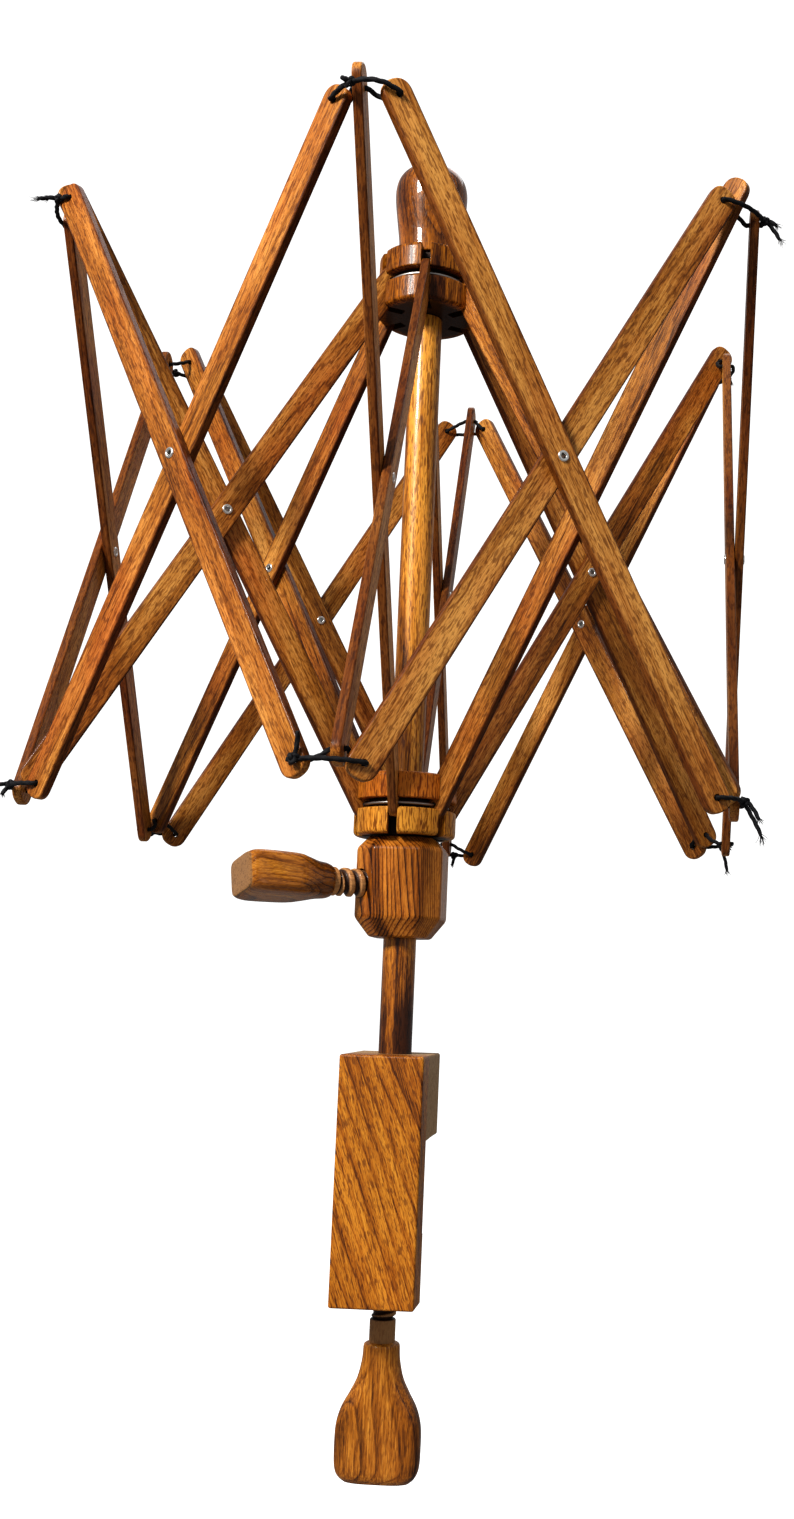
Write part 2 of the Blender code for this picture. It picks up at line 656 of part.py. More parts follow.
def screw(name, tip, start, end, neck_end, root, crest, pitch, grip, xf, mat, seg=16, per=6, plain=None):
    """tip..start plain nose, start..end threaded, end..neck_end plain shank, then the grip."""
    bm = bmesh.new()
    rows = []
    nose = plain if plain is not None else root
    rows.append((tip, [(nose - 0.8 * MM, None)] * seg))
    rows.append((tip + 0.8 * MM, [(nose, None)] * seg))
    rows.append((start, [(nose, None)] * seg))
    for z, row in thread_rings(start + 0.6 * MM, end, root, crest, pitch, seg, per):
        rows.append((z, [(r, None) for r in row]))
    rows.append((end + 0.8 * MM, [(crest, None)] * seg))
    rows.append((neck_end, [(crest, None)] * seg))
    rings = []
    for z, row in rows:
        rings.append([bm.verts.new((row[j][0] * cos(2 * pi * j / seg), row[j][0] * sin(2 * pi * j / seg), z))
                      for j in range(seg)])
    for z, row in grip_rings(neck_end + 0.5 * MM, seg, *grip):
        rings.append([bm.verts.new((x, y, z)) for x, y in row])
    for a, b in zip(rings, rings[1:]):
        for i in range(seg):
            j = (i + 1) % seg
            bm.faces.new((a[i], a[j], b[j], b[i]))
    bm.faces.new(rings[0])
    bm.faces.new(rings[-1])
    return node(name, bm, mat, xf, smooth=True)


# collar screw: its tip stops just off the shaft
sroll = radians(SCREW_ROLL)
cr, sr = cos(sroll), sin(sroll)
SX = basis(Z * SCREW_Z, side * cr + Z * sr, Z * cr - side * sr, SCREW_DIR)
screw("collar_screw", SHAFT_R + 0.5 * MM, SHAFT_R + 3.0 * MM, SCREW_NECK - 1.5 * MM, SCREW_NECK, SCREW_ROOT_R,
      SCREW_THREAD_R, SCREW_PITCH, (GRIP_L, GRIP_STATIONS), SX, material("wood_collar_screw", WOOD, 0.0, 0.3))

# clamp screw: points up, its paddle hangs below the block
DOWN = basis(Vector((CLAMP_X, CLAMP_Y, 0)), Vector((1, 0, 0)), Vector((0, -1, 0)), Vector((0, 0, -1)))
PEG_R = 4.0 * MM
screw("clamp_screw", -(PAD_TOP - 2.5 * MM), -(PAD_TOP - PAD_T - 1.0 * MM), -NECK_Z - 8.0 * MM, -NECK_Z, THREAD_ROOT_R,
      THREAD_R, THREAD_PITCH, (PADDLE_L, PADDLE_STATIONS), DOWN, material("wood_clamp_screw", WOOD, 0.0, 0.3),
      seg=14, plain=PEG_R)

# pressure pad on the screw's peg
bm = bmesh.new()
pr = PEG_R + FIT
lathe(bm, [(pr, PAD_TOP - PAD_T), (PAD_R, PAD_TOP - PAD_T), (PAD_R, PAD_TOP - 0.8 * MM), (PAD_R - 0.8 * MM, PAD_TOP),
           (0, PAD_TOP), (0, PAD_TOP - 2.2 * MM), (pr, PAD_TOP - 2.2 * MM)], 28)
node("clamp_pad", bm, material("wood_pad", DARK, 0.0, 0.4), Matrix.Translation((CLAMP_X, CLAMP_Y, 0)), smooth=True)

# --------------------------------------------------------------------------
# clamp block: a C-shaped block, notched from the back, bored for shaft and screw
bm = bmesh.new()
pts = [(BLOCK_Y0, BLOCK_Z0), (LOWER_ARM_Y, BLOCK_Z0), (LOWER_ARM_Y, LOWER_ARM_TOP), (NOTCH_Y, LOWER_ARM_TOP),
       (NOTCH_Y, 0.0), (BLOCK_Y1, 0.0), (BLOCK_Y1, BLOCK_Z1), (BLOCK_Y0, BLOCK_Z1)]
a = [bm.verts.new((BLOCK_X0, y, z)) for y, z in pts]
b = [bm.verts.new((BLOCK_X1, y, z)) for y, z in pts]
for i in range(len(pts)):
    j = (i + 1) % len(pts)
    bm.faces.new((a[i], a[j], b[j], b[i]))
bm.faces.new(a)
bm.faces.new(b)
bmesh.ops.recalc_face_normals(bm, faces=bm.faces[:])
outer = [e for e in bm.edges if not (abs(e.verts[0].co.y - NOTCH_Y) < 1e-6 and abs(e.verts[1].co.y - NOTCH_Y) < 1e-6)]
bmesh.ops.bevel(bm, geom=outer, offset=0.8 * MM, segments=1, profile=0.5, affect="EDGES")
blk = node("clamp_block", bm, material("wood_block", (0.50, 0.24, 0.07), 0.0, 0.35))
boolean(blk, [cyl_cutter("cut_socket", SHAFT_R + FIT, 12.0 * MM, BLOCK_Z1 + 6 * MM, 32, cutmat)])
arm_cuts = []
for x0, x1 in ((BLOCK_X0 - 6 * MM, BLOCK_X0 + LOWER_ARM_IN), (BLOCK_X1 - LOWER_ARM_IN, BLOCK_X1 + 6 * MM)):
    cb = bmesh.new()
    bmesh.ops.create_cube(cb, size=1.0)
    bmesh.ops.scale(cb, vec=(x1 - x0, 46 * MM, LOWER_ARM_TOP + 6 * MM - (BLOCK_Z0 - 6 * MM)), verts=cb.verts[:])
    bmesh.ops.translate(cb, vec=((x0 + x1) / 2, NOTCH_Y + 24.5 * MM, (LOWER_ARM_TOP + BLOCK_Z0) / 2), verts=cb.verts[:])
    arm_cuts.append(node("cut_arm_%d" % len(arm_cuts), cb, cutmat))
boolean(blk, [cyl_cutter("cut_thread", CLAMP_BORE_R, BLOCK_Z0 - 6 * MM, LOWER_ARM_TOP + 6 * MM, 28, cutmat,
                         Matrix.Translation((CLAMP_X, CLAMP_Y, 0)))])
boolean(blk, arm_cuts)
for o in list(bpy.data.objects):
    if o.type == "MESH" and not o.data.materials:
        o.data.materials.append(cutmat)
bpy.data.materials.remove(cutmat)
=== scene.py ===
"""Looks for the umbrella yarn swift: varnished wooden slats, turned hubs, wooden screws and cord ties."""
import random
from math import atan2, cos, hypot, pi, radians, sin

import bmesh
import bpy
from mathutils import Matrix, Vector


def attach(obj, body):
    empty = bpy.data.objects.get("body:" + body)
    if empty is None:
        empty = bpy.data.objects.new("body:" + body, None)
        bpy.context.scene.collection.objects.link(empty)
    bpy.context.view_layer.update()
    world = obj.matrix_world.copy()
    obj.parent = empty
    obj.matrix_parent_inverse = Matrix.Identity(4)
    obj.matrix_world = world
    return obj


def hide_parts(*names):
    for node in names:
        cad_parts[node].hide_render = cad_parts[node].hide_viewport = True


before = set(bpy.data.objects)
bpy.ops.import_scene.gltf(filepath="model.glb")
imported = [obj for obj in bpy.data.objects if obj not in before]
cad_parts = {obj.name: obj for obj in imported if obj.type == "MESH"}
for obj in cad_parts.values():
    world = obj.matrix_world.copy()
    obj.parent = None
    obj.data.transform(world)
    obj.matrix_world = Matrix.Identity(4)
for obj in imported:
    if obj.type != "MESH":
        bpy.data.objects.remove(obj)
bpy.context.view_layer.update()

MM = 0.001
RIBS = 6
Z = Vector((0, 0, 1))

# --- sizes, as in the CAD -----------------------------------------------------
HOLE_SPACING = 331.0 * MM
LEAN = radians(60.0)
PIVOT_R = 22.0 * MM
CORNER_OFF = PIVOT_R / 2
ZU = 458.5 * MM
OUTER_SAG = 6.0 * MM
SLAT_W, SLAT_T = 14.0 * MM, 4.5 * MM
RIB_TIP = 3.3 * MM
SIDE_GAP = 0.15 * MM
INNER_LAYER = 5.9 * MM
OUTER_LAYER = INNER_LAYER + SLAT_T + 0.3 * MM
WIRE_HOLE_R, RIVET_HOLE_R, CORD_HOLE_R = 1.5 * MM, 2.1 * MM, 1.6 * MM
RIVET_R, RIVET_BORE_R, RIVET_HEAD_R, RIVET_HEAD_T = 1.75 * MM, 0.95 * MM, 3.2 * MM, 0.65 * MM
CORD_R, CORD_GAP = 0.9 * MM, 0.35 * MM
HUB_R, HUB_HALF = 26.8 * MM, 16.2 * MM
SLOT_W, SLOT_FLOOR_R = SLAT_T + 0.6 * MM, 14.4 * MM
GROOVE_R, GROOVE_H = 20.3 * MM, 5.0 * MM
WIRE_R, WIRE_RING_R = 0.9 * MM, 22.2 * MM
SHAFT_R, SPIGOT_R, FIT = 8.6 * MM, 7.0 * MM, 0.3 * MM
SHAFT_Z0, SHAFT_Z1 = 12.3 * MM, 490.0 * MM
SPIGOT_Z0 = ZU - HUB_HALF - FIT
KNOB_Z0 = ZU + HUB_HALF + FIT
KNOB_R, KNOB_H = 19.8 * MM, 53.5 * MM
COLLAR_W, COLLAR_H, COLLAR_CORNER = 45.0 * MM, 52.5 * MM, 10.0 * MM
COLLAR_TOP_CH, COLLAR_BOT_CH = 6.5 * MM, 10.0 * MM
BLOCK_X0, BLOCK_X1 = -23.2 * MM, 19.6 * MM
BLOCK_Y0, BLOCK_Y1 = -30.0 * MM, 31.0 * MM
BLOCK_Z0, BLOCK_Z1 = -81.0 * MM, 43.0 * MM
NOTCH_Y = -11.0 * MM
LOWER_ARM_TOP, LOWER_ARM_Y, LOWER_ARM_IN = -46.0 * MM, 24.0 * MM, 5.2 * MM
CLAMP_X, CLAMP_Y = (BLOCK_X0 + BLOCK_X1) / 2, 9.0 * MM
THREAD_R, THREAD_ROOT_R, THREAD_PITCH = 7.0 * MM, 5.6 * MM, 5.5 * MM
CLAMP_BORE_R = 7.35 * MM
PAD_R, PAD_T, PAD_TOP, PEG_R = 11.0 * MM, 6.0 * MM, -30.0 * MM, 4.0 * MM
PADDLE_L, NECK_Z = 69.0 * MM, -104.0 * MM
PADDLE_STATIONS = [
    (0.00, 8.4, 8.4, 2.0), (0.02, 9.3, 9.3, 2.0), (0.12, 9.8, 9.2, 2.0), (0.25, 11.8, 8.9, 2.2),
    (0.36, 15.4, 8.7, 2.6), (0.47, 19.4, 8.6, 3.2), (0.60, 21.7, 8.6, 3.6), (0.78, 22.0, 8.6, 3.8),
    (0.90, 21.5, 8.4, 3.8), (0.96, 19.8, 7.5, 3.4), (1.00, 16.8, 5.7, 3.0)]
GRIP_L = 48.0 * MM
GRIP_STATIONS = [
    (0.00, 8.4, 8.4, 2.0), (0.05, 9.2, 9.2, 2.0), (0.16, 9.8, 9.6, 2.4), (0.30, 11.6, 10.4, 3.6),
    (0.45, 12.8, 10.6, 6.0), (0.80, 13.2, 10.6, 7.5), (0.93, 12.9, 10.2, 7.0), (1.00, 11.8, 9.1, 6.0)]
SCREW_AZ, SCREW_ROLL, SCREW_Z, SCREW_NECK = -52.0, 14.0, 130.0 * MM, 42.5 * MM
SCREW_THREAD_R, SCREW_ROOT_R, SCREW_PITCH, SCREW_BORE_R = 7.4 * MM, 6.0 * MM, 6.0 * MM, 7.75 * MM
CORNER_R = PIVOT_R + HOLE_SPACING * cos(LEAN)
ZL = ZU - HOLE_SPACING * sin(LEAN)
COLLAR_Z1 = ZL - HUB_HALF - 0.4 * MM
COLLAR_Z0 = COLLAR_Z1 - COLLAR_H
RAD_OFF = SLAT_T / 2 + SIDE_GAP


# =============================================================================
# shader nodes
class Net:
    """A small helper that builds one material's node tree."""

    def __init__(self, name):
        self.mat = bpy.data.materials.new(name)
        self.mat.use_nodes = True
        self.t = self.mat.node_tree
        self.t.nodes.clear()

    def new(self, kind, **props):
        n = self.t.nodes.new(kind)
        for key, value in props.items():
            setattr(n, key, value)
        return n

    def put(self, sock, value):
        if isinstance(value, bpy.types.NodeSocket):
            self.t.links.new(value, sock)
        elif isinstance(value, (tuple, list)) and sock.type == "RGBA" and len(value) == 3:
            sock.default_value = (*value, 1.0)
        else:
            sock.default_value = value

    def math(self, op, a, b=0.0, c=0.0, clamp=False):
        n = self.new("ShaderNodeMath", operation=op, use_clamp=clamp)
        self.put(n.inputs[0], a)
        self.put(n.inputs[1], b)
        if len(n.inputs) > 2:
            self.put(n.inputs[2], c)
        return n.outputs[0]

    def dot(self, a, vec):
        n = self.new("ShaderNodeVectorMath", operation="DOT_PRODUCT")
        self.put(n.inputs[0], a)
        self.put(n.inputs[1], vec)
        return n.outputs["Value"]

    def xyz(self, x, y, z):
        n = self.new("ShaderNodeCombineXYZ")
        for i, v in enumerate((x, y, z)):
            self.put(n.inputs[i], v)
        return n.outputs[0]

    def split(self, v):
        n = self.new("ShaderNodeSeparateXYZ")
        self.put(n.inputs[0], v)
        return n.outputs[0], n.outputs[1], n.outputs[2]

    def noise(self, vec, scale=1.0, detail=2.0, rough=0.5, distort=0.0, color=False):
        n = self.new("ShaderNodeTexNoise", noise_dimensions="3D")
        self.put(n.inputs["Vector"], vec)
        n.inputs["Scale"].default_value = scale
        n.inputs["Detail"].default_value = detail
        n.inputs["Roughness"].default_value = rough
        n.inputs["Distortion"].default_value = distort
        return n.outputs["Color"] if color else n.outputs[0]

    def ramp(self, fac, stops, interp="LINEAR"):
        n = self.new("ShaderNodeValToRGB")
        n.color_ramp.interpolation = interp
        els = n.color_ramp.elements
        while len(els) < len(stops):
            els.new(0.5)
        for e, (pos, col) in zip(els, sorted(stops, key=lambda s: s[0])):
            e.position = pos
            e.color = (col, col, col, 1.0) if isinstance(col, (int, float)) else (*col, 1.0)
        self.put(n.inputs[0], fac)
        return n.outputs[0]

    def smooth(self, v, lo, hi):
        n = self.new("ShaderNodeMapRange", interpolation_type="SMOOTHSTEP")
        self.put(n.inputs["Value"], v)
        n.inputs["From Min"].default_value = lo
        n.inputs["From Max"].default_value = hi
        return n.outputs[0]

    def mix(self, fac, a, b, blend="MIX"):
        n = self.new("ShaderNodeMix", data_type="RGBA", blend_type=blend)
        self.put(n.inputs[0], fac)
        self.put(n.inputs[6], a)
        self.put(n.inputs[7], b)
        return n.outputs[2]

    def bump(self, height, strength, distance, normal=None):
        n = self.new("ShaderNodeBump")
        n.inputs["Strength"].default_value = strength
        n.inputs["Distance"].default_value = distance
        self.put(n.inputs["Height"], height)
        if normal is not None:
            self.put(n.inputs["Normal"], normal)
        return n.outputs[0]

    def shader(self, **sockets):
        b = self.new("ShaderNodeBsdfPrincipled")
        for key, value in sockets.items():
            self.put(b.inputs[key.replace("_", " ")], value)
        out = self.new("ShaderNodeOutputMaterial")
        self.t.links.new(b.outputs[0], out.inputs[0])
        return b


def unit(v):
    v = Vector(v).normalized()
    return (v.x, v.y, v.z)


def wood(name, dark, mid, light, red, along=(1, 0, 0), across=(0, 1, 0), pith=(30, 60), drift=(0.0, 0.0),
         ring=2.6, ring_amount=0.45, warp=1.6, blotch=0.9, fibre=0.55, fleck=0.5, fleck_len=2.0, tone=0.0,
         edge=None, painted_recess_shade=None, low=None, rough=0.30, coat=0.45, coat_rough=0.10, bump=0.35, patch=None, side=None, spec=0.25, zred=None, redvar=1.3):
    """Varnished wood cut from a log: rings about a pith line, fibre streaks, short dark flecks and slow blotches.
    The mesh attribute "wv" shifts each piece's (lightness, redness, place in the log)."""
    n = Net(name)
    tc = n.new("ShaderNodeTexCoord")
    mm = n.new("ShaderNodeVectorMath", operation="SCALE")
    n.put(mm.inputs[0], tc.outputs["Object"])
    mm.inputs["Scale"].default_value = 1000.0
    p = mm.outputs[0]
    at = n.new("ShaderNodeAttribute", attribute_name="wv")
    v_tone, v_red, v_seed = n.split(at.outputs["Vector"])
    A = Vector(along).normalized()
    B = Vector(across)
    B = (B - A * B.dot(A)).normalized()
    C = A.cross(B)
    a0, b0, c0 = n.dot(p, tuple(A)), n.dot(p, tuple(B)), n.dot(p, tuple(C))
    a = n.math("MULTIPLY_ADD", v_seed, 137.0, a0)
    b = n.math("MULTIPLY_ADD", v_seed, 19.0, b0)
    c = c0

    def grain(sa, sb, oa=0.0):
        return n.xyz(n.math("MULTIPLY_ADD", a, sa, oa), n.math("MULTIPLY", b, sb), n.math("MULTIPLY", c, sb))

    # slow wander of the grain
    w = n.noise(grain(0.011, 0.045), 1.0, 2.0, 0.5, color=True)
    w1, w2, w3 = n.split(w)
    wb = n.math("MULTIPLY_ADD", n.math("SUBTRACT", w1, 0.5), 2 * warp, b0)
    wc = n.math("MULTIPLY_ADD", n.math("SUBTRACT", w2, 0.5), 2 * warp, c0)
    # distance from the pith, which drifts along the piece
    off = n.math("MULTIPLY_ADD", n.math("FRACT", n.math("MULTIPLY", v_seed, 3.7)), 14.0, -7.0)
    rb = n.math("SUBTRACT", n.math("MULTIPLY_ADD", a0, drift[0], wb), n.math("ADD", off, pith[0]))
    rc = n.math("SUBTRACT", n.math("MULTIPLY_ADD", a0, drift[1], wc), pith[1])
    r = n.math("SQRT", n.math("ADD", n.math("MULTIPLY", rb, rb), n.math("MULTIPLY", rc, rc)))
    wide = n.noise(n.xyz(n.math("MULTIPLY", r, 0.11 / ring * 2.4), n.math("MULTIPLY", a, 0.004), v_seed), 1.0, 1.0)
    turns = n.math("MULTIPLY_ADD", r, 1.0 / ring, n.math("MULTIPLY", wide, 3.0))
    saw = n.math("FRACT", turns)
    late = n.ramp(saw, [(0.0, 0.95), (0.09, 0.04), (0.55, 0.06), (0.86, 0.42), (1.0, 0.95)], "EASE")
    which = n.noise(n.xyz(n.math("FLOOR", turns), n.math("MULTIPLY", a, 0.006), v_seed), 1.7, 0.0)
    late = n.math("MULTIPLY", late, n.math("MULTIPLY_ADD", which, 1.5, 0.25))
    # fibre, blotches, flecks
    fib = n.noise(grain(0.05, 1.5), 1.0, 5.0, 0.62)
    fine = n.noise(grain(0.16, 4.2, 40.0), 1.0, 2.0, 0.6)
    slow = n.noise(grain(0.010, 0.075, 7.0), 1.0, 3.0, 0.55)
    slow2 = n.noise(grain(0.016, 0.05, 90.0), 1.0, 2.0, 0.5)
    fl = n.noise(grain(0.50 / fleck_len, 1.0, 11.0), 1.0, 1.0, 0.5)
    fl = n.ramp(fl, [(0.54, 0.0), (0.63, 1.0)], "EASE")
    fl2 = n.noise(grain(0.95 / fleck_len, 2.3, 3.0), 1.0, 0.0, 0.5)
    fl2 = n.ramp(fl2, [(0.58, 0.0), (0.67, 1.0)], "EASE")
    flk = n.math("MAXIMUM", fl, n.math("MULTIPLY", fl2, 0.7))
    # lightness of the stain
    v = n.math("MULTIPLY_ADD", v_tone, 0.30, 0.55 + tone)
    v = n.math("MULTIPLY_ADD", n.math("SUBTRACT", slow, 0.5), blotch * 1.6, v)
    v = n.math("MULTIPLY_ADD", n.math("SUBTRACT", fib, 0.5), fibre * 1.5, v)
    v = n.math("MULTIPLY_ADD", n.math("SUBTRACT", fine, 0.5), fibre * 0.5, v)
    v = n.math("MULTIPLY_ADD", late, -ring_amount, v)
    if low is not None:          # darker towards one end
        v = n.math("MULTIPLY_ADD", n.smooth(a0, low[0], low[1]), -low[2], v)
    if patch is not None:        # a darker heart streak: (direction, centre, half width, amount)
        d = n.math("ABSOLUTE", n.math("SUBTRACT", n.dot(n.xyz(n.math("MULTIPLY", a0, 0.12), wb, wc), (0.35, *patch[0])), patch[1]))
        v = n.math("MULTIPLY_ADD", n.smooth(d, patch[2], patch[2] * 0.35), -patch[3], v)
    col = n.ramp(v, [(0.0, dark), (0.45, mid), (1.0, light)])
    redness = n.math("MULTIPLY_ADD", v_red, 0.5, n.math("MULTIPLY_ADD", n.math("SUBTRACT", slow2, 0.5), redvar, 0.10), clamp=True)
    if zred is not None:         # redder heartwood towards one end
        redness = n.math("MULTIPLY_ADD", n.smooth(a0, zred[0], zred[1]), zred[2], redness, clamp=True)
    tint = n.mix(redness, (1.0, 1.0, 1.0), red)
    col = n.mix(1.0, col, tint, "MULTIPLY")
    col = n.mix(n.math("MULTIPLY", flk, fleck), col, n.mix(1.0, col, (0.30, 0.22, 0.18), "MULTIPLY"))
    if edge is not None:         # stain gathers along the long edges
        e = n.smooth(n.math("MULTIPLY_ADD", n.math("SUBTRACT", w3, 0.5), 1.6, n.math("ABSOLUTE", b0)), edge[0], edge[1])
        col = n.mix(n.math("MULTIPLY", e, edge[2]), col, n.mix(1.0, col, (0.34, 0.25, 0.20), "MULTIPLY"))
    if painted_recess_shade is not None:         # painted shade: darker deep inside grooves, slots and bores, by distance from the axis
        rr = n.math("SQRT", n.math("ADD", n.math("MULTIPLY", b0, b0), n.math("MULTIPLY", c0, c0)))
        col = n.mix(n.smooth(rr, painted_recess_shade[1], painted_recess_shade[0]), col, painted_recess_shade[2])
    raw = None
    if side is not None:         # (axis vector, from, to, colour, matt)
        raw = n.smooth(n.dot(p, side[0]), side[1], side[2])
        grey = n.mix(n.math("MULTIPLY", fib, 0.8), n.mix(1.0, side[3], (0.55, 0.5, 0.45), "MULTIPLY"), side[3])
        grey = n.mix(n.math("MULTIPLY", flk, 0.60), grey, n.mix(1.0, grey, (0.4, 0.35, 0.3), "MULTIPLY"))
        col = n.mix(raw, col, grey)
    rg = n.math("MULTIPLY_ADD", n.math("SUBTRACT", fib, 0.5), 0.22, rough)
    rg = n.math("MULTIPLY_ADD", flk, 0.10, rg)
    if raw is not None:
        rg = n.math("MULTIPLY_ADD", raw, 0.35, rg)
    h = n.math("MULTIPLY_ADD", flk, -0.7, n.math("MULTIPLY", fib, 0.9))
    h = n.math("MULTIPLY_ADD", late, -0.25, h)
    bm = n.bump(h, bump, 0.00012)
    b = n.shader(Base_Color=col, Roughness=rg, Normal=bm)
    b.inputs["Coat Weight"].default_value = coat
    b.inputs["Coat Roughness"].default_value = coat_rough
    b.inputs["Specular IOR Level"].default_value = spec
    return n.mat


RED = (0.80, 0.55, 0.45)
GOLD = dict(dark=(0.060, 0.017, 0.003), mid=(0.370, 0.128, 0.010), light=(0.760, 0.345, 0.048), red=RED)

SLAT = wood("varnished_slat", dark=(0.062, 0.020, 0.005), mid=(0.350, 0.130, 0.019), light=(0.680, 0.330, 0.082), red=RED, ring=3.4, ring_amount=0.24, pith=(24, 46), drift=(0.02, 0.03), blotch=0.95,
            redvar=2.6, fibre=0.95, fleck=0.72, fleck_len=2.5, tone=0.06, edge=(5.3, 6.9, 1.0), rough=0.40, coat=0.08, coat_rough=0.12, spec=0.15)
HUB_LOOK = dict(**GOLD, along=(0, 0, 1), across=(1, 0, 0), ring=2.6, ring_amount=0.30, pith=(12, -52),
                drift=(0.03, 0.0), blotch=1.3, fibre=0.8, fleck=0.95, fleck_len=3.4, rough=0.34, coat=0.08, coat_rough=0.08, spec=0.12,
                # painted shade in the groove, slots and bore of each hub
                painted_recess_shade=(21.0, 25.0, (0.030, 0.012, 0.005)))
HUB = wood("varnished_upper_hub", tone=-0.16, **HUB_LOOK)
# the lower hub is set much lighter than the upper hub: painted light that offsets the shade the slats cast on it
LHUB = wood("varnished_lower_hub", tone=0.44, zred=(-1.0, 1.0, 0.80), **HUB_LOOK)
KNOBW = wood("varnished_knob", **GOLD, along=(0, 0, 1), across=(1, 0.3, 0), ring=3.0, ring_amount=0.25, pith=(-8, 40),
             drift=(0.05, 0.0), blotch=1.0, fibre=0.7, fleck=0.6, tone=-0.22, rough=0.26, coat=0.55, coat_rough=0.03, spec=0.10)
SHAFTW = wood("varnished_shaft", **GOLD, along=(0, 0, 1), across=(1, 0.5, 0), ring=2.0, ring_amount=0.5, pith=(14, 8),
              drift=(0.012, 0.0), blotch=1.7, fibre=0.8, fleck=0.85, fleck_len=3.4, tone=0.36, low=(120.0, 42.0, 0.80),
              rough=0.34, coat=0.25, coat_rough=0.10, patch=((0.9, -0.4), 6.0, 5.0, 0.55))
COLLARW = wood("varnished_collar", dark=(0.030, 0.008, 0.002), mid=(0.300, 0.092, 0.009), light=(0.62, 0.245, 0.036),
               red=RED, along=(0, 0, 1), across=(1, 0, 0), ring=1.55, ring_amount=0.80, pith=(46, 22), drift=(0.03, 0.05),
               warp=1.0, blotch=1.1, fibre=0.8, fleck=0.45, fleck_len=2.4, tone=0.30, rough=0.30, coat=0.16, coat_rough=0.06, spec=0.15,
               patch=((0.8, -0.6), 5.5, 4.6, 0.42))
BLOCKW = wood("varnished_block", dark=(0.110, 0.030, 0.004), mid=(0.350, 0.110, 0.007), light=(0.64, 0.270, 0.028),
              red=(0.86, 0.62, 0.50), along=(-0.30, 0.0, 0.95), across=(1, 0, 0.3), ring=5.5, ring_amount=0.50,
              pith=(70, 30), drift=(0.10, 0.0), warp=3.2, blotch=1.0, fibre=1.35, fleck=0.80, fleck_len=2.8, tone=0.03,
              rough=0.40, coat=0.10, coat_rough=0.2, side=((0, 1, 0), -11.6, -10.8, (0.560, 0.355, 0.180)))
SCREWW = wood("varnished_screw", **GOLD, along=(0, 0, 1), across=(1, 0.25, 0), ring=2.0, ring_amount=0.38,
              pith=(5, 17), drift=(0.10, 0.09), warp=1.3, blotch=0.8, fleck=0.5, tone=-0.06, rough=0.28, coat=0.5,
              coat_rough=0.05, low=(66.0, 46.0, 0.34), side=((0, 0, 1), 89.3, 90.2, (0.380, 0.195, 0.070)))
PADDLEW = wood("varnished_paddle", **GOLD, along=(0, 0, 1), across=(1, 0.15, 0), ring=2.7, ring_amount=0.36,
               pith=(4, -62), drift=(0.02, 0.02), warp=1.0, blotch=0.9, fibre=1.0, fleck=0.60, fleck_len=3.4, tone=-0.05,
               rough=0.36, coat=0.2, coat_rough=0.12)
THREADW = wood("stained_thread", dark=(0.020, 0.007, 0.003), mid=(0.150, 0.055, 0.018), light=(0.52, 0.27, 0.10),
               red=(0.9, 0.7, 0.6), along=(0, 0, 1), across=(1, 0, 0), ring=3.0, ring_amount=0.2, fleck=0.3, tone=0.45,
               # painted shade in the thread roots
               rough=0.5, coat=0.1, painted_recess_shade=(6.1, 7.1, (0.030, 0.011, 0.005)))
PADW = wood("raw_pad", dark=(0.10, 0.05, 0.02), mid=(0.36, 0.20, 0.09), light=(0.58, 0.38, 0.20), red=(0.95, 0.85, 0.8),
            along=(0, 0, 1), across=(1, 0, 0), ring=2.2, ring_amount=0.4, fleck=0.5, rough=0.55, coat=0.0)


def metal(name, base, rough, scratch):
    n = Net(name)
    tc = n.new("ShaderNodeTexCoord")
    big = n.noise(tc.outputs["Object"], 900.0, 3.0, 0.6)
    col = n.mix(n.math("MULTIPLY", big, 0.5), base, tuple(c * 0.62 for c in base))
    rg = n.math("MULTIPLY_ADD", big, scratch, rough)
    n.shader(Base_Color=col, Roughness=rg, Metallic=1.0, Normal=n.bump(big, 0.15, 0.00005))
    return n.mat


NICKEL = metal("nickel_eyelet", (0.80, 0.78, 0.75), 0.18, 0.25)
STEELW = metal("ring_steel", (0.50, 0.47, 0.44), 0.28, 0.3)


def cord_material():
    n = Net("black_waxed_cord")
    tc = n.new("ShaderNodeTexCoord")
    fuzz = n.noise(tc.outputs["Object"], 2600.0, 3.0, 0.7)
    slow = n.noise(tc.outputs["Object"], 400.0, 2.0, 0.5)
    col = n.mix(fuzz, (0.0030, 0.0030, 0.0036), (0.012, 0.0115, 0.013))
    col = n.mix(n.math("MULTIPLY", slow, 0.5), col, (0.010, 0.010, 0.013))
    b = n.shader(Base_Color=col, Roughness=n.math("MULTIPLY_ADD", fuzz, 0.25, 0.55), Normal=n.bump(fuzz, 0.6, 0.0002))
    b.inputs["Sheen Weight"].default_value = 0.02
    b.inputs["Sheen Roughness"].default_value = 0.4
    b.inputs["Specular IOR Level"].default_value = 0.18
    return n.mat


CORDM = cord_material()


# =============================================================================
# mesh helpers
def basis(origin, x, y, z):
    m = Matrix((x, y, z)).transposed().to_4x4()
    m.translation = origin
    return m


def make(name, bm, mat, xf=None, world=False, sharp=35, wv=None, weighted=True):
    bmesh.ops.recalc_face_normals(bm, faces=bm.faces[:])
    if world and xf is not None:
        bmesh.ops.transform(bm, matrix=xf.inverted(), verts=bm.verts[:])
    me = bpy.data.meshes.new(name)
    bm.to_mesh(me)
    bm.free()
    ob = bpy.data.objects.new(name, me)
    bpy.context.scene.collection.objects.link(ob)
    me.materials.append(mat)
    if xf is not None:
        ob.matrix_world = xf
    finish_mesh(ob, sharp, wv, weighted)
    return ob


